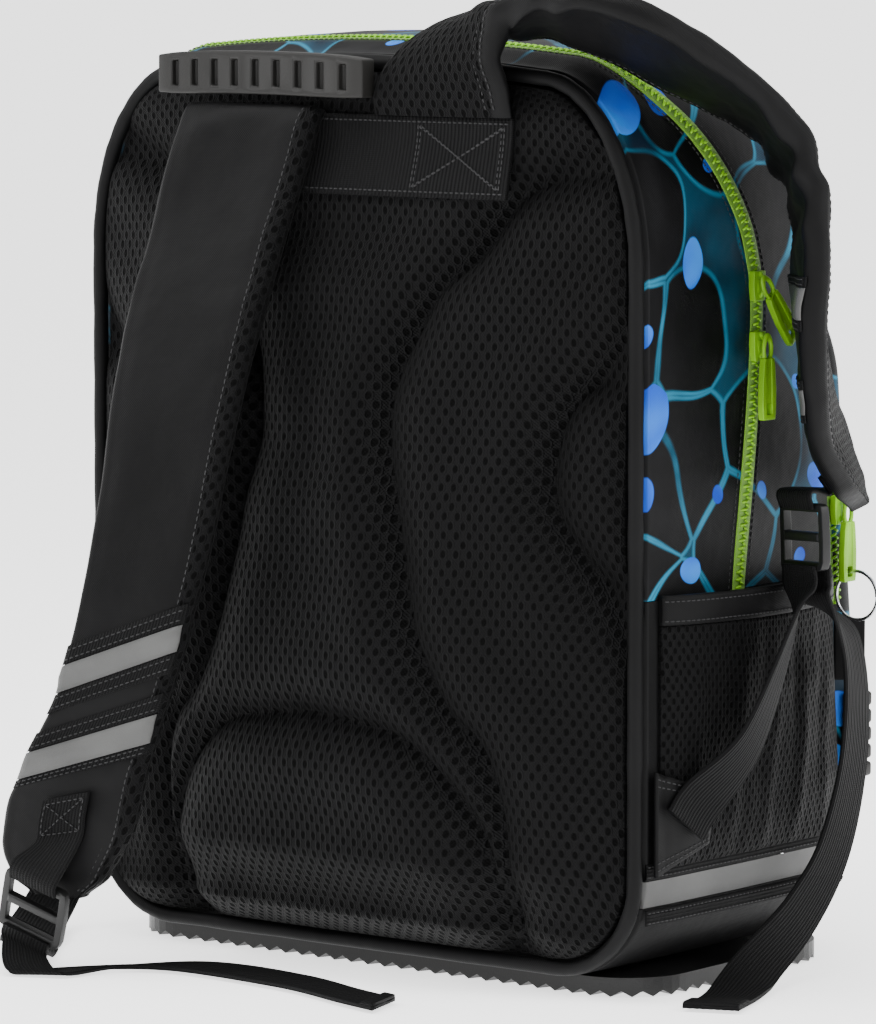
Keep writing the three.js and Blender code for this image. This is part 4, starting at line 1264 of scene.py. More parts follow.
RIGHT_STRAP = from_shares([
    (0.355, -0.083, 0.938, 2, 0, 1.04, 0.25),
    (0.357, -0.098, 0.96, 2, 1, 1.03, 0.5),
    (0.385, -0.118, 0.998, -8, 4, 0.98, 0.8),
    (0.49, -0.115, 1.035, -28, 8, 0.95, 1),
    (0.66, -0.085, 1.048, -45, 12, 0.95, 1),
    (0.85, -0.075, 1.043, -50, 17, 0.96, 1),
    (1, 0, 1.018, -54, 22, 1, 1),
    (1.085, 0.14, 0.985, -55, 21, 1, 1),
    (1.145, 0.28, 0.95, -51, 14, 1, 1),
    (1.2, 0.37, 0.905, -48, 8, 1, 1),
    (1.235, 0.405, 0.85, -49, 4, 1, 1),
    (1.24, 0.42, 0.78, -51, 3, 1, 1),
    (1.225, 0.44, 0.71, -54, 0, 1, 1),
    (1.215, 0.49, 0.642, -58, 0, 1, 1),
    (1.205, 0.56, 0.588, -62, 0, 0.98, 1),
    (1.2, 0.65, 0.542, -60, 0, 0.8, 0.9),
    (1.195, 0.72, 0.515, -56, 0, 0.4, 0.7),
])


def right_strap_rows():
    """The right strap's rows, with its root at the anchor band's upper edge."""
    x, _, _, *rest = RIGHT_STRAP[0]
    z = ANCHOR_FOOT + ANCHOR_HEIGHT + GAP
    y = Y_BACK - GAP - belly_at(x, z - GAP) - BAND_SEAT - WEBBING_THICKNESS
    return [(x, y, z, *rest), *RIGHT_STRAP[1:]]


def across_of(turn, tilt):
    t, e = math.radians(turn), math.radians(tilt)
    return Vector((math.cos(t) * math.cos(e), math.sin(t) * math.cos(e), math.sin(e)))


class Ribbon:
    """A strip that follows rows of place, turn, tilt, width share and thickness share."""

    def __init__(self, rows, width, thickness):
        self.places = [row[:3] for row in rows]
        self.turns = [row[3:5] for row in rows]
        self.sizes = [tuple(row[5:7]) if len(row) > 5 else (1, 1) for row in rows]
        self.width = width
        self.thickness = thickness

    def frame(self, t):
        centre = Vector(spline(self.places, t))
        ahead = Vector(spline(self.places, min(t + 1e-4, 1)))
        behind = Vector(spline(self.places, max(t - 1e-4, 0)))
        along = (ahead - behind).normalized()
        across = across_of(*spline(self.turns, t, 0.3))
        width, thick = spline(self.sizes, t, 0.2)
        out = across.cross(along).normalized()
        return centre, across, along, out, self.width * width / 2, self.thickness * thick / 2

    def at(self, t, p, q):
        """p is a share of the half width, q a share of the half thickness."""
        centre, across, _, out, a, b = self.frame(t)
        return centre + across * a * p + out * b * q

    def length(self):
        steps = 200
        return lengths_along([spline(self.places, k / steps) for k in range(steps + 1)])[-1]


def pad_height(p):
    """The pad's height at a share of its half width, as a share of its full height."""
    edge = clamp((1 - abs(p)) / 0.16)
    return 0.42 + 0.58 * math.sin(math.pi / 2 * edge) ** 0.6


def strap_profile():
    """Share of half width and thickness round the padded strap, with its stitched margins."""
    profile = []
    for q, direction in ((-1, 1), (1, -1)):
        for k in range(25):
            p = direction * (2 * k / 24 - 1)
            p = math.copysign(1 - (1 - abs(p)) ** 1.35, p)
            profile.append((p * 0.985, q * pad_height(p) * (1 - 0.05 * p * p)))
        profile.append((direction * 1.0, q * 0.2))
        profile.append((direction * 1.0, -q * 0.2))
    return profile


def strap_creases(name, t, p, q):
    """Out-of-face moves in mm: soft waves, pulls at the stitches and the folds of a bent pad."""
    if name == "left":
        place = Vector((p * 32, t * 420, q * 20))
        pull = 0.25 * math.sin(t * 420 / 7.5 + 2 * p) * abs(p) ** 4
        fold = 0.9 * math.exp(-(((t - 0.075) / 0.02) ** 2)) * math.sin(p * 5 + 1)
        return noise.noise(place / 34) * 1.5 + noise.noise(place / 14) * 0.5 + pull + fold
    place = Vector((p * 32, t * 560, q * 20 + 90))
    crest = math.exp(-(((t - 0.22) / 0.09) ** 2))
    corner = math.exp(-(((t - 0.6) / 0.07) ** 2))
    slant = t * 560 / 5.6 + p * 2.2 + 1.5 * noise.noise(place / 26)
    fold = (2.0 * crest + 2.4 * corner) * math.sin(slant) * (0.7 + 0.3 * math.sin(3 * p + t * 40))
    hold = clamp(t / 0.12)
    return (noise.noise(place / 30) * 1.6 + noise.noise(place / 10) * 0.5 + fold) * hold


def make_strap(name, rows, wrap_side):
    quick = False
    steps = 130 if quick else 260
    ribbon = Ribbon(rows, STRAP_WIDTH, STRAP_THICKNESS)
    profile = strap_profile()
    margin = STRAP_MARGIN / (STRAP_WIDTH / 2)
    rings = []
    for k in range(steps + 1):
        t = k / steps
        centre, across, along, out, a, b = ribbon.frame(t)
        ring = []
        for p, q in profile:
            move = strap_creases(name, t, p, q) * clamp(min(t, 1 - t) * 14) * (1 if q < 0 else 0.6)
            quilt = 0.9 * math.exp(-(((1 - abs(p) - margin) / 0.045) ** 2))
            stand = b * q - math.copysign(quilt * min(1, b / 4), q) * (1 if abs(q) > 0.3 else 0)
            ring.append(centre + across * a * p + out * (stand + move))
        rings.append(ring)

    def slot_of(i, r):
        p, q = profile[i]
        side = p * wrap_side
        if q < -0.3:
            return 0 if side > -(1 - margin) else 1
        if abs(q) <= 0.3:
            return 0 if side > 0 else 1
        return 0 if side > 1 - margin else 1

    strap = loft(f"strap_{name}_pad", rings, slot_of)
    finish_piece(strap, [f"strap_{name}"], "satin_cloth", "satin_cloth", "mesh_cloth")
    for face, side in ((-1, -wrap_side), (1, wrap_side)):
        for extra in (1.0, 1.6):
            route, normals = [], []
            for k in range(4, 197):
                t = k / 200
                _, _, _, out, a, b = ribbon.frame(t)
                p = side * (1 - margin * extra)
                move = strap_creases(name, t, p, face) * (1 if face < 0 else 0.6)
                route.append(ribbon.at(t, p, 0) + out * (face * b * 0.93 + move - face * 0.25))
                normals.append(out * face)
            THREADS.run(route, normals, 3.4, 2.3, 0.32, 0.2)
    return ribbon


def make_stripe(name, node, ribbon, strap_name, start, end):
    """Reflective strip over the strap's smooth face, with a stitched dark tape at each edge."""

    def surface(t_from, t_to, lift, reach):
        def at(u, v, out):
            t = t_from + (t_to - t_from) * v
            _, _, _, normal, a, b = ribbon.frame(t)
            p = (2 * u - 1) * reach
            move = strap_creases(strap_name, t, p, -1) * clamp(min(t, 1 - t) * 14)
            return ribbon.at(t, p, 0) + normal * (move - b * pad_height(p) - lift - out)
        return at

    span = end - start
    strip = cloth(name, 36, 8, surface(start, end, 0.15, 0.965), STRIPE_THICKNESS)
    finish_piece(strip, [node], "reflective_tape")
    near, far = 0.03 * span, 0.36 * span
    for word, low, high in (("foot", start - far, start - near), ("head", end + near, end + far)):
        skin = surface(low, high, 0.05, 0.97)
        tape = cloth(f"{name}_{word}", 36, 3, skin, STRIPE_THICKNESS)
        finish_piece(tape, [], "black_cloth", "webbing")
        for v in (0.25, 0.75):
            route = [skin(0.02 + 0.96 * k / 40, v, STRIPE_THICKNESS) for k in range(41)]
            normals = [-ribbon.frame(low + (high - low) * v)[3]] * 41
            THREADS.run(route, normals, 2.9, 2.0, 0.28, 0.1)


# Strap, its rows, the strip's name, its node's name, and the rows it runs between.
STRIPES = [
    ("left", LEFT_STRAP, "top", "upper", 8, 9),
    ("left", LEFT_STRAP, "foot", "lower", 10, 11),
    ("right", RIGHT_STRAP, "top", "upper", 11.3, 11.75),
    ("right", RIGHT_STRAP, "foot", "lower", 12.8, 13.24),
]


def make_straps():
    straps = {
        "left": make_strap("left", LEFT_STRAP, -1),
        "right": make_strap("right", right_strap_rows(), 1),
    }
    for side, rows, place, node, start, end in STRIPES:
        last = len(rows) - 1
        names = (f"stripe_{side}_{place}", f"stripe_{side}_{node}")
        make_stripe(*names, straps[side], side, start / last, end / last)
    return straps["left"], straps["right"]


def make_anchor_band():
    def surface(u, v, out):
        x = (2 * u - 1) * ANCHOR_HALF_WIDTH
        z = ANCHOR_FOOT + ANCHOR_HEIGHT * v
        sag = ripple((x, 0, z), 25, 0.35)
        pull = 0.35 * math.cos(x / 3.1) * abs(2 * v - 1) ** 6
        y = Y_BACK - GAP - belly_at(x, z) - BAND_SEAT - out - (sag + pull if out > 0 else 0)
        return Vector((x, y, z))

    band = cloth("anchor_webbing", 160, 24, surface, WEBBING_THICKNESS)
    finish_piece(band, ["anchor_band"], "webbing", "band_webbing")
    flat_size(60, 8, surface)

    def line(x0, v0, x1, v1, count=24):
        u0, u1 = (x0 / ANCHOR_HALF_WIDTH + 1) / 2, (x1 / ANCHOR_HALF_WIDTH + 1) / 2
        steps = [k / count for k in range(count + 1)]
        route = [surface(u0 + (u1 - u0) * s, v0 + (v1 - v0) * s, WEBBING_THICKNESS) for s in steps]
        THREADS.run(route, [Vector((0, -1, 0))] * len(route), 2.7, 2.0, 0.33, 0.05)

    for hand in (-1, 1):
        for shift in (0, 1.4):
            a, b = hand * (42 + shift), hand * (88 - shift)
            line(a, 0.12, b, 0.88)
            line(a, 0.88, b, 0.12)
            line(a, 0.1, a, 0.9)
            line(b, 0.1, b, 0.9)
    for v in (0.07, 0.93):
        line(-90, v, 90, v, 60)


LOCKS = {
    "left": {"at": (-0.69, -0.622, 0.072), "turns": (12, 20, 4)},
    "right": {"at": (1.195, 0.46, 0.49), "turns": (0, -3, -22)},
}


def lock_place(word):
    """The lock's middle and its turn, in the order X, then Y, then Z of its own axes."""
    centre = Vector(from_shares([LOCKS[word]["at"]])[0])
    x, y, z = (math.radians(a) for a in LOCKS[word]["turns"])
    turn = Matrix.Rotation(x, 3, "X") @ Matrix.Rotation(y, 3, "Y") @ Matrix.Rotation(z, 3, "Z")
    return centre, turn


def row_at(point, across):
    turn = math.degrees(math.atan2(across.y, across.x))
    tilt = math.degrees(math.asin(clamp(across.z, -1, 1)))
    return (point.x, point.y, point.z, turn, tilt)


def lock_row(word, face, z):
    lie = LOCK_THICKNESS / 2 + WEBBING_THICKNESS / 2 + 3 * GAP
    centre, turn = lock_place(word)
    return row_at(centre + turn @ Vector((0, face * lie, z)), turn @ Vector((1, 0, 0)))


def wing_row(hand, share, z, tilt):
    ahead = 0.02

    def out(s):
        return side_pocket_offset(s, z) + MESH_THICKNESS * 1.4 + WEBBING_THICKNESS * 1.5 + 7 * GAP

    point = on_side(hand, share, z, out(share))
    slope = (on_side(hand, share + ahead, z, out(share + ahead)) - point).normalized() * -hand
    e = math.radians(tilt)
    slope = slope * math.cos(e)
    slope.z = -hand * math.sin(e)
    return row_at(point, slope)


def strap_row(ribbon, share):
    centre, across, _, out, _, b = ribbon.frame(round(240 * share) / 240)
    return row_at(centre - out * (b + WEBBING_THICKNESS / 2 + 5 * GAP), across)


def webbing_rows(left, right):
    over = LOCK_HEIGHT / 2 - BAR_WIDTH * 0.7
    past = LOCK_HEIGHT / 2 + 5
    last = len(LEFT_STRAP) - 1
    right_last = len(RIGHT_STRAP) - 1
    return {
        "lock_webbing_left": [
            *[strap_row(left, k / last) for k in (12.1, 12.6, 13.1)],
            lock_row("left", -1, past),
            lock_row("left", -1, over),
        ],
        "lower_webbing_left": [
            lock_row("left", 1, -over),
            lock_row("left", 1, -past),
            *from_shares([
                (-0.84, -0.5, 0.016, 25, -14),
                (-1.0, -0.3, 0.016, 45, -12),
                (-1.13, -0.06, 0.045, 70, -30),
            ]),
            wing_row(-1, 0.13, 72, -50),
            wing_row(-1, 0.1, 82, -50),
        ],
        "tail_left": [
            lock_row("left", -1, -over),
            lock_row("left", -1, -past + 1),
            *from_shares([
                (-0.64, -0.67, 0.005, 25, 0),
                (-0.56, -0.52, 0.005, 50, 0),
                (-0.36, -0.34, 0.005, 70, 0),
                (0.02, -0.345, 0.005, 98, 0),
                (0.3, -0.42, 0.005, 105, 0),
                (0.45, -0.455, 0.005, 105, 0),
            ]),
        ],
        "lock_webbing_right": [
            *[strap_row(right, k / right_last) for k in (14.6, 15.1)],
            lock_row("right", -1, past),
            lock_row("right", -1, over),
        ],
        "lower_webbing_right": [
            lock_row("right", -1, -over),
            lock_row("right", -1, -past - 1),
            *from_shares([
                (1.225, 0.37, 0.4, -55, 20),
                (1.18, 0.24, 0.28, -72, 32),
            ]),
            wing_row(1, 0.15, 88, -38),
            wing_row(1, 0.1, 78, -38),
        ],
        "tail_right": [
            lock_row("right", 1, -over),
            lock_row("right", 1, -past - 1),
            lock_row("right", 1, -past - 8),
            *from_shares([
                (1.235, 0.62, 0.37, -70, -15),
                (1.225, 0.66, 0.26, -82, -4),
                (1.19, 0.62, 0.15, -88, 20),
                (1.15, 0.52, 0.08, -95, 38),
                (1.12, 0.36, 0.03, -120, 25),
                (1.14, 0.22, 0.006, -150, 0),
                (1.2, 0.03, 0.005, -158, 0),
            ]),
        ],
    }


def make_webbing(left, right):
    for name, rows in webbing_rows(left, right).items():
        ribbon = Ribbon(rows, WEBBING_WIDTH, WEBBING_THICKNESS)
        length = ribbon.length()
        steps = max(12, int(length / 2.5))
        rings = []
        for k in range(steps + 1):
            t = k / steps
            centre, across, _, out, a, b = ribbon.frame(t)
            cup = ripple((t * length, len(name) * 9, 0), 30, 0.45)
            ring = []
            for q, direction in ((-1, 1), (1, -1)):
                for i in range(17):
                    p = direction * (2 * i / 16 - 1)
                    rib = 0.08 * math.cos(i * math.pi)
                    bow = cup * (1 - p * p) * clamp(min(t, 1 - t) * 8)
                    ring.append(centre + across * a * p * 0.99 + out * (b * q * (0.92 + rib) + max(bow, 0)))
                ring.append(centre + across * a * direction + out * b * q * 0.3)
            rings.append(ring)
        strip = loft(f"{name}_strip", rings)
        finish_piece(strip, [name], "webbing")
        if name.startswith("tail"):
            tail_hem(name, ribbon, length)
        if name.startswith("lock"):
            box_stitch(ribbon, length)


def box_stitch(ribbon, length):
    """A crossed box of stitches where the webbing is sewn to the strap."""
    near, far = 2.5 / length, 19 / length
    corners = [(near, -0.82), (near, 0.82), (far, 0.82), (far, -0.82)]
    lines = [(corners[k], corners[(k + 1) % 4]) for k in range(4)]
    lines += [(corners[0], corners[2]), (corners[1], corners[3])]
    for (t0, p0), (t1, p1) in lines:
        for face in (-1, 1):
            shares = [k / 10 for k in range(11)]
            route = [ribbon.at(t0 + (t1 - t0) * s, p0 + (p1 - p0) * s, face) for s in shares]
            normals = [ribbon.frame(t0 + (t1 - t0) * s)[3] * face for s in shares]
            THREADS.run(route, normals, 2.6, 1.9, 0.3, 0.1)


def tail_hem(name, ribbon, length):
    """The tail's folded and stitched end."""
    fold = 14 / length
    for share in (0.25, 0.8):
        t = 1 - fold * share
        normal = ribbon.frame(t)[3]
        for face in (-1, 1):
            route = [ribbon.at(t, -0.9 + 1.8 * k / 12, face) for k in range(13)]
            THREADS.run(route, [normal * face] * 13, 2.6, 1.9, 0.3, 0.1)
    rings = []
    for k in range(9):
        t = 1 - fold * (1 - k / 8)
        centre, across, _, out, a, b = ribbon.frame(t)
        up = 1 if out.z >= 0 else -1
        low = b + 0.05
        lift = 1.3 * math.sin(math.pi / 2 * min(1, k / 2))
        ring = []
        for p, h in ((-1, 0), (-0.96, 1), (0, 1), (0.96, 1), (1, 0)):
            ring.append(centre + across * a * p + out * up * (low + h * lift))
        rings.append(ring)
    fold_over = loft(f"{name}_fold", rings)
    finish_piece(fold_over, [], "webbing")


# Hard pieces, modelled with Blender's own tools

def fresh(add, **settings):
    """Adds a primitive with nothing else selected."""
    bpy.ops.object.select_all(action="DESELECT")
    add(**settings)
    return bpy.context.active_object


def in_edit_mode(obj, *steps):
    bpy.context.view_layer.objects.active = obj
    bpy.ops.object.mode_set(mode="EDIT")
    for step in steps:
        step()
    bpy.ops.object.mode_set(mode="OBJECT")


def pick_faces(obj, test):
    """Selects the faces whose middle, in mm, and normal pass the test."""
    bpy.context.tool_settings.mesh_select_mode = (False, False, True)
    bpy.ops.object.mode_set(mode="OBJECT")
    for item in (*obj.data.vertices, *obj.data.edges, *obj.data.polygons):
        item.select = False
    for polygon in obj.data.polygons:
        polygon.select = test(Vector(polygon.center) / MM, polygon.normal)
    bpy.ops.object.mode_set(mode="EDIT")


def cut_lines(axis, levels):
    for level in levels:
        bpy.ops.mesh.select_all(action="SELECT")
        place = [0, 0, 0]
        place[axis] = level * MM
        normal = [0, 0, 0]
        normal[axis] = 1
        bpy.ops.mesh.bisect(plane_co=place, plane_no=normal)


def use_modifier(obj, kind, **settings):
    bpy.ops.object.select_all(action="DESELECT")
    bpy.context.view_layer.objects.active = obj
    obj.select_set(True)
    modifier = obj.modifiers.new("shape", kind)
    for key, value in settings.items():
        setattr(modifier, key, value)
    bpy.ops.object.modifier_apply(modifier=modifier.name)


def block(name, size):
    obj = fresh(bpy.ops.mesh.primitive_cube_add, size=1)
    obj.name = name
    obj.data.name = name
    obj.data.transform(Matrix.Diagonal((*[s * MM for s in size], 1)))
    return obj


def rounded(obj, width, segments, angle=40):
    limit = {"limit_method": "ANGLE", "angle_limit": math.radians(angle)}
    use_modifier(obj, "BEVEL", width=width * MM, segments=segments, **limit)
    bpy.ops.object.shade_smooth_by_angle(angle=math.radians(50))


def put(obj, centre, turn=None):
    matrix = Matrix.Translation(Vector(centre) * MM)
    if turn is not None:
        matrix = matrix @ turn.to_4x4()
    obj.data.transform(matrix)


def join(parts, name):
    bpy.ops.object.select_all(action="DESELECT")
    for part in parts:
        part.select_set(True)
    bpy.context.view_layer.objects.active = parts[0]
    bpy.ops.object.join()
    parts[0].name = name
    parts[0].data.name = name
    return parts[0]


GRIP_PLACE = from_shares([(-0.26, -0.14, 0.979)])[0]


def make_grip():
    """Moulded grip: its slots are inset and pushed in, then the bar is bowed."""
    grip = block("grip_bar", (GRIP_LENGTH, GRIP_THICKNESS, GRIP_HEIGHT))
    pitch = GRIP_LENGTH * GRIP_SLOT_RUN / GRIP_SLOTS
    places = [(k + 0.5) / GRIP_SLOTS * 2 - 1 for k in range(GRIP_SLOTS)]
    middles = [place * GRIP_LENGTH / 2 * GRIP_SLOT_RUN for place in places]
    walls = [m + s * 2.9 for m in middles for s in (-1, 1)]
    slot_high = GRIP_HEIGHT * 0.36

    def is_slot(c, n):
        return n.y < -0.9 and abs(c.z) < slot_high and any(abs(c.x - m) < 1.5 for m in middles)

    def shape():
        cut_lines(0, walls)
        cut_lines(2, (-slot_high, slot_high))
        pick_faces(grip, is_slot)
        bpy.ops.mesh.inset(thickness=0.9 * MM, use_individual=True)
        bpy.ops.mesh.inset(thickness=0.25 * MM, depth=-3.2 * MM, use_individual=True)

    in_edit_mode(grip, shape)
    rounded(grip, 1.1, 3, 35)
    in_edit_mode(grip, lambda: cut_lines(0, [-50 + pitch * k for k in range(10)]))
    for vertex in grip.data.vertices:
        t = vertex.co.x / MM / (GRIP_LENGTH / 2)
        taper = 1 - 0.12 * abs(t) ** 6
        vertex.co.z *= taper
        vertex.co.y += GRIP_BOW * t * t * MM
        vertex.co.z -= GRIP_DROP * t * t * MM
    put(grip, GRIP_PLACE)
    finish_piece(grip, ["handle_grip"], "grip_rubber")


def make_grip_legs():
    """Webbing that runs behind the grip and into the top seam at both ends."""
    cx, cy, cz = GRIP_PLACE
    for hand, word in ((-1, "left"), (1, "right")):
        t = hand * 0.84
        x = cx + t * GRIP_LENGTH / 2
        y = cy + GRIP_THICKNESS / 2 + GRIP_BOW * t * t + GAP
        z = cz - GRIP_DROP * t * t
        seam = Y_BACK - GAP - belly_at(x, z - GRIP_HEIGHT / 2) - 4 * GAP
        rings = []
        for k in range(13):
            s = k / 12
            centre = Vector((x, y + s * (seam - y), z + math.sin(math.pi * s) - s))
            ring = []
            for side, count in ((-1, 1), (1, -1)):
                for i in range(9):
                    p = count * (2 * i / 8 - 1)
                    ring.append(centre + Vector((side * WEBBING_THICKNESS / 2, 0, p * GRIP_HEIGHT * 0.4)))
            rings.append(ring)
        leg = loft(f"grip_leg_{word}", rings)
        finish_piece(leg, [f"handle_leg_{word}"], "webbing")


def make_lock(word):
    """Ladder lock: a plate with two windows, thick bars and a lift lip."""
    lock = block(f"lock_{word}", (LOCK_WIDTH, LOCK_THICKNESS, LOCK_HEIGHT))
    slot_half = WEBBING_WIDTH / 2 + 1
    slot_high = (LOCK_HEIGHT - 3 * BAR_WIDTH) / 2
    low = -LOCK_HEIGHT / 2 + BAR_WIDTH
    levels = (low, low + slot_high, BAR_WIDTH / 2, BAR_WIDTH / 2 + slot_high)

    def is_window(c, n, k):
        return abs(n.y) > 0.9 and abs(c.x) < slot_half and levels[k] < c.z < levels[k + 1]

    def shape():
        cut_lines(0, (-slot_half, slot_half))
        cut_lines(2, levels)
        for k in (0, 2):
            pick_faces(lock, lambda c, n: is_window(c, n, k))
            bpy.ops.mesh.bridge_edge_loops()
        bar_half = BAR_WIDTH / 2 + 0.5
        pick_faces(lock, lambda c, n: n.y < -0.9 and abs(c.z) < bar_half and abs(c.x) < slot_half)
        bpy.ops.mesh.inset(thickness=0.7 * MM, depth=0.5 * MM)

    in_edit_mode(lock, shape)
    rounded(lock, 0.9, 3, 30)
    for vertex in lock.data.vertices:
        x, z = vertex.co.x / MM, vertex.co.z / MM
        vertex.co.y -= 0.9 * MM * clamp((abs(z) - 9) / 6) * (1 if z < 0 else 0)
        corner = clamp((abs(x) - 12) / 5) * clamp((abs(z) - 10) / 5)
        vertex.co.x *= 1 - 0.06 * corner
        vertex.co.z *= 1 - 0.09 * corner
    centre, turn = lock_place(word)
    put(lock, centre, turn)
    finish_piece(lock, [f"ladder_lock_{word}"], "dark_plastic")


def make_slider(word, x, y, z, swing):
    body = block(f"{word}_slider_body", (SLIDER_HEIGHT * 0.62, SLIDER_WIDTH, SLIDER_LENGTH))
    in_edit_mode(body, lambda: cut_lines(2, (-3, 0, 3)), lambda: cut_lines(1, (-2.2, 2.2)))
    for vertex in body.data.vertices:
        share = vertex.co.z / MM / (SLIDER_LENGTH / 2)
        vertex.co.y *= 1 - 0.22 * clamp(-share) ** 1.2
        vertex.co.y *= 1 - 0.08 * clamp(share) ** 2
    in_edit_mode(
        body,
        lambda: pick_faces(body, lambda c, n: n.x > 0.9 and abs(c.y) < 2 and abs(c.z) < 3.2),
        lambda: bpy.ops.mesh.inset(thickness=0.4 * MM, depth=0.5 * MM),
    )
    rounded(body, 0.9, 3, 30)
    centre_x = x + GAP + SLIDER_HEIGHT * 0.31
    put(body, (centre_x, y, z))
    bridge = wire_ring(3.6, 0.95)
    bridge.data.transform(Matrix.Diagonal((0.62, 1, 1.3, 1)) @ Matrix.Rotation(math.pi / 2, 4, "X"))
    put(bridge, (centre_x + SLIDER_HEIGHT * 0.3, y, z + 0.5))
    slider = join([body, bridge], f"{word}_slider_piece")
    finish_piece(slider, [f"{word}_slider"], "lime_plastic")
    make_puller(word, x, y, z, swing)


def wire_ring(radius, wire):
    size = {"major_radius": radius * MM, "minor_radius": wire * MM}
    return fresh(bpy.ops.mesh.primitive_torus_add, major_segments=28, minor_segments=10, **size)


def make_puller(word, x, y, z, swing):
    """Puller plate with a looped neck, a raised rim and a hole at its end."""
    length = PULLER_LENGTH - 9
    plate = block(f"{word}_plate", (PULLER_THICKNESS, PULLER_WIDTH * 0.9, length))
    hole_floor = -length / 2 + 2.2
    hole_roof = -length / 2 + 6.8

    def in_middle(c, n):
        return abs(n.x) > 0.9 and abs(c.y) < 2

    in_edit_mode(
        plate,
        lambda: cut_lines(2, (hole_floor, hole_roof, 0, length / 2 - 4)),
        lambda: cut_lines(1, (-2, 2)),
        lambda: pick_faces(plate, lambda c, n: in_middle(c, n) and c.z > hole_roof),
        lambda: bpy.ops.mesh.inset(thickness=0.3 * MM, depth=-0.45 * MM),
        lambda: pick_faces(plate, lambda c, n: in_middle(c, n) and hole_floor < c.z < hole_roof),
        lambda: bpy.ops.mesh.bridge_edge_loops(),
    )
    for vertex in plate.data.vertices:
        share = vertex.co.z / MM / (length / 2)
        vertex.co.y *= 1 - 0.3 * clamp(share) ** 2
        vertex.co.y *= 1 - 0.15 * clamp(-share) ** 6
    rounded(plate, 0.8, 3, 30)
    put(plate, (0, 0, 4 - 9 - length / 2))
    neck = wire_ring(3.3, 1.05)
    neck.data.transform(Matrix.Diagonal((1, 0.85, 1.7, 1)) @ Matrix.Rotation(math.pi / 2, 4, "Y"))
    put(neck, (0, 0, -1.2))
    puller = join([plate, neck], f"{word}_puller_piece")
    puller.data.transform(Matrix.Rotation(math.radians(swing), 4, "X"))
    put(puller, (x + 2 * GAP + SLIDER_HEIGHT + PULLER_THICKNESS / 2, y, z))
    finish_piece(puller, [f"{word}_puller"], "lime_plastic")


def make_sliders():
    for word, share, swing in (("lower", LOWER_SLIDER, 0), ("upper", UPPER_SLIDER, 40)):
        z = share * HEIGHT
        d = straight([(h, depth) for depth, h in MAIN_ZIP_ROUTE], share)
        make_slider(word, side_face(d), Y_BACK + d * depth_at(z), z, swing)
    x = POCKET_HALF_WIDTH + 0.15 * FRONT_CORNER
    y = Y_BACK + (1 + (GAP + ZIP_WIDTH / 2) / DEPTH) * depth_at(FRONT_SLIDER_Z)
    make_slider("front", x, y, FRONT_SLIDER_Z, 0)
    make_key_ring(x, y)


def make_key_ring(x, y):
    """Split ring: two turns of flattened wire."""
    end = FRONT_SLIDER_Z + 4 - PULLER_LENGTH
    centre = Vector((x + GAP + RING_RADIUS + RING_WIRE / 2, y, end + 4.1 - RING_RADIUS * 0.92))
    rings = []
    turns = 64
    for k in range(turns * 2 + 1):
        a = 2 * math.pi * k / turns
        lean = RING_WIRE * 0.5 * (k / (turns * 2) - 0.5) * 1.1
        out = Vector((math.cos(a), 0, math.sin(a)))
        middle = centre + out * RING_RADIUS + Vector((0, lean, 0))
        ring = []
        for i in range(10):
            b = math.pi * i / 5
            lift = Vector((0, 1, 0)) * math.sin(b) * RING_WIRE * 0.26
            ring.append(middle + out * math.cos(b) * RING_WIRE * 0.48 + lift)
        rings.append(ring)
    ring = loft("split_ring", rings)
    finish_piece(ring, ["key_ring"], "steel")


def make_side_tag():
    """Bare folded woven tag, sewn into the pocket's seam."""
    x = POCKET_HALF_WIDTH + TAG_REACH / 2 + 0.5
    centre = Vector((x, Y_BACK + depth_at(TAG_MIDDLE) + 3.3, TAG_MIDDLE))
    turn = Matrix.Rotation(math.radians(-52), 3, "Z")

    def surface(u, v, out):
        bow = 0.5 * math.sin(math.pi * u) * math.sin(2.5 * v + 0.4)
        place = (out - TAG_THICKNESS / 2 + bow, (u - 0.5) * TAG_REACH, (v - 0.5) * TAG_LENGTH)
        return centre + turn @ Vector(place)

    tag = cloth("side_tag_cloth", 14, 24, surface, TAG_THICKNESS)
    finish_piece(tag, ["side_tag"], "black_cloth", "satin_cloth")


def make_fob():
    """Ribbed rubber badge: each rib a rounded bar on a common back."""
    pitch = FOB_HEIGHT / FOB_RIBS
    back = block("fob_back", (2.4, FOB_WIDTH * 0.86, FOB_HEIGHT * 0.97))
    rounded(back, 0.8, 2)
    put(back, (1.4, 0, 0))
    parts = [back]
    for k in range(FOB_RIBS):
        rib = block("fob_rib", (FOB_THICKNESS * 0.95, FOB_WIDTH, pitch * 0.84))
        in_edit_mode(rib, lambda: cut_lines(1, (-4, 4)))
        rounded(rib, 1.7, 4)
        put(rib, (FOB_THICKNESS * 0.5, 0, (k + 0.5) * pitch - FOB_HEIGHT / 2))
        parts.append(rib)
    fob = join(parts, "fob_badge")
    x = POCKET_HALF_WIDTH + 0.15 * FRONT_CORNER + GAP
    put(fob, (x, Y_BACK + depth_at(FOB_MIDDLE) + GAP + POCKET_DEPTH * 0.33, FOB_MIDDLE))
    finish_piece(fob, ["fob"], "dark_plastic", "grip_rubber")


# Stage

FLOOR_SPAN = 70


def make_floor():
    floor = fresh(bpy.ops.mesh.primitive_plane_add, size=FLOOR_SPAN)
    floor.name = "floor"
    look = Look("floor", (0.9, 0.9, 0.9), 0.85, Emission_Color=(1, 1, 1, 1), Emission_Strength=1.6)
    cloud = look.grain(0.6, 2)
    look.set("Roughness", cloud * 0.1 + 0.8)
    floor.data.materials.append(look.material)
    floor.data.transform(Matrix.Translation((0, 0, -0.0004)))


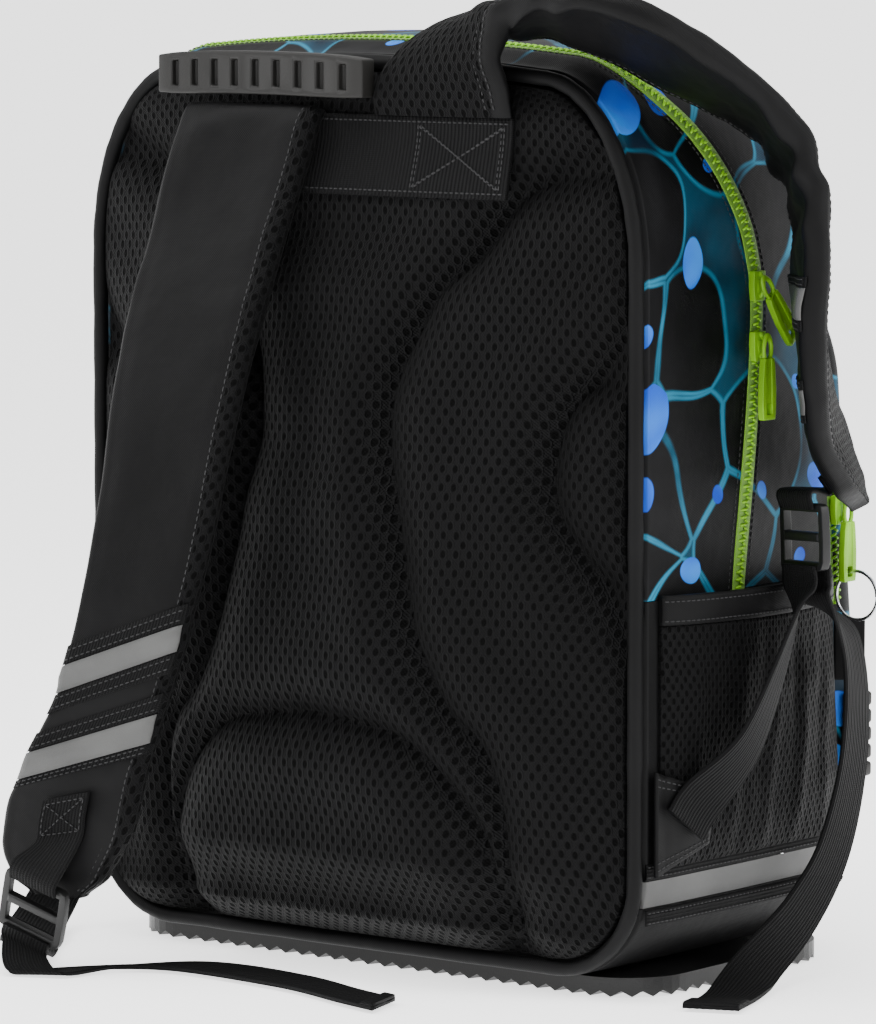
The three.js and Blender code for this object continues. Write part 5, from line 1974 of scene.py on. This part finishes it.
def towards(turn, rise):
    """Unit vector out from the bag, turned from its back and risen, in degrees."""
    t, e = math.radians(turn), math.radians(rise)
    return Vector((math.sin(t) * math.cos(e), -math.cos(t) * math.cos(e), math.sin(e)))


def soft_light(name, turn, rise, distance, size, power):
    data = bpy.data.lights.new(name, "AREA")
    data.shape = "DISK"
    data.size = size
    data.energy = power
    lamp = bpy.data.objects.new(name, data)
    bpy.context.collection.objects.link(lamp)
    aim = Vector((0, 0, 0.2))
    lamp.location = aim + distance * towards(turn, rise)
    lamp.rotation_euler = (aim - lamp.location).to_track_quat("-Z", "Y").to_euler()


def make_lights():
    world = bpy.data.worlds.new("studio")
    bpy.context.scene.world = world
    world.use_nodes = True
    world.node_tree.nodes["Background"].inputs[0].default_value = (1, 1, 1, 1)
    world.node_tree.nodes["Background"].inputs[1].default_value = 1.0
    soft_light("key", -34, 50, 1.9, 1.1, 20)
    soft_light("right", 100, 30, 1.9, 1.0, 16)
    soft_light("top", 38, 78, 1.8, 1.2, 22)
    soft_light("low_left", -70, 14, 2.1, 1.0, 5)


def make_camera():
    data = bpy.data.cameras.new("camera")
    data.sensor_fit = "VERTICAL"
    data.sensor_height = 36
    data.lens = 36 * CAMERA_DISTANCE / FRAME_HEIGHT
    data.clip_end = 80
    camera = bpy.data.objects.new("camera", data)
    bpy.context.collection.objects.link(camera)
    aim = Vector(CAMERA_AIM) * MM
    away = towards(CAMERA_TURN, CAMERA_RISE)
    camera.location = aim + away * CAMERA_DISTANCE * MM
    camera.rotation_euler = (-away).to_track_quat("-Z", "Y").to_euler()
    bpy.context.scene.camera = camera


def finish_base_plate():
    """The ribbed foot stays as packed and gets its look."""
    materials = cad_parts["base_plate"].data.materials
    materials.clear()
    materials.append(LOOKS["dark_plastic"])


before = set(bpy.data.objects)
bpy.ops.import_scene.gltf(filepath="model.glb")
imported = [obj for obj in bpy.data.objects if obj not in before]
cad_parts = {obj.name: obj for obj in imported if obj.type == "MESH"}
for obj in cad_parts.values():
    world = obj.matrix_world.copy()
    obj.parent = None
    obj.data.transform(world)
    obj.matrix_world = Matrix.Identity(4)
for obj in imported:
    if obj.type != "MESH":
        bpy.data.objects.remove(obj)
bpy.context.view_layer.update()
LOOKS = make_looks()
THREADS = Thread("stitching")
make_camera()
make_floor()
make_lights()
make_body()
make_front_pocket()
make_back_panel()
make_piping()
for hand, word in ((-1, "left"), (1, "right")):
    make_side_pocket(hand, word)
    make_wing(hand, word)
    make_lock(word)
make_anchor_band()
left_strap, right_strap = make_straps()
make_webbing(left_strap, right_strap)
make_zips()
make_grip()
make_grip_legs()
make_sliders()
make_side_tag()
make_fob()
finish_piece(THREADS.piece(), [], "black_cloth", "thread")
finish_base_plate()
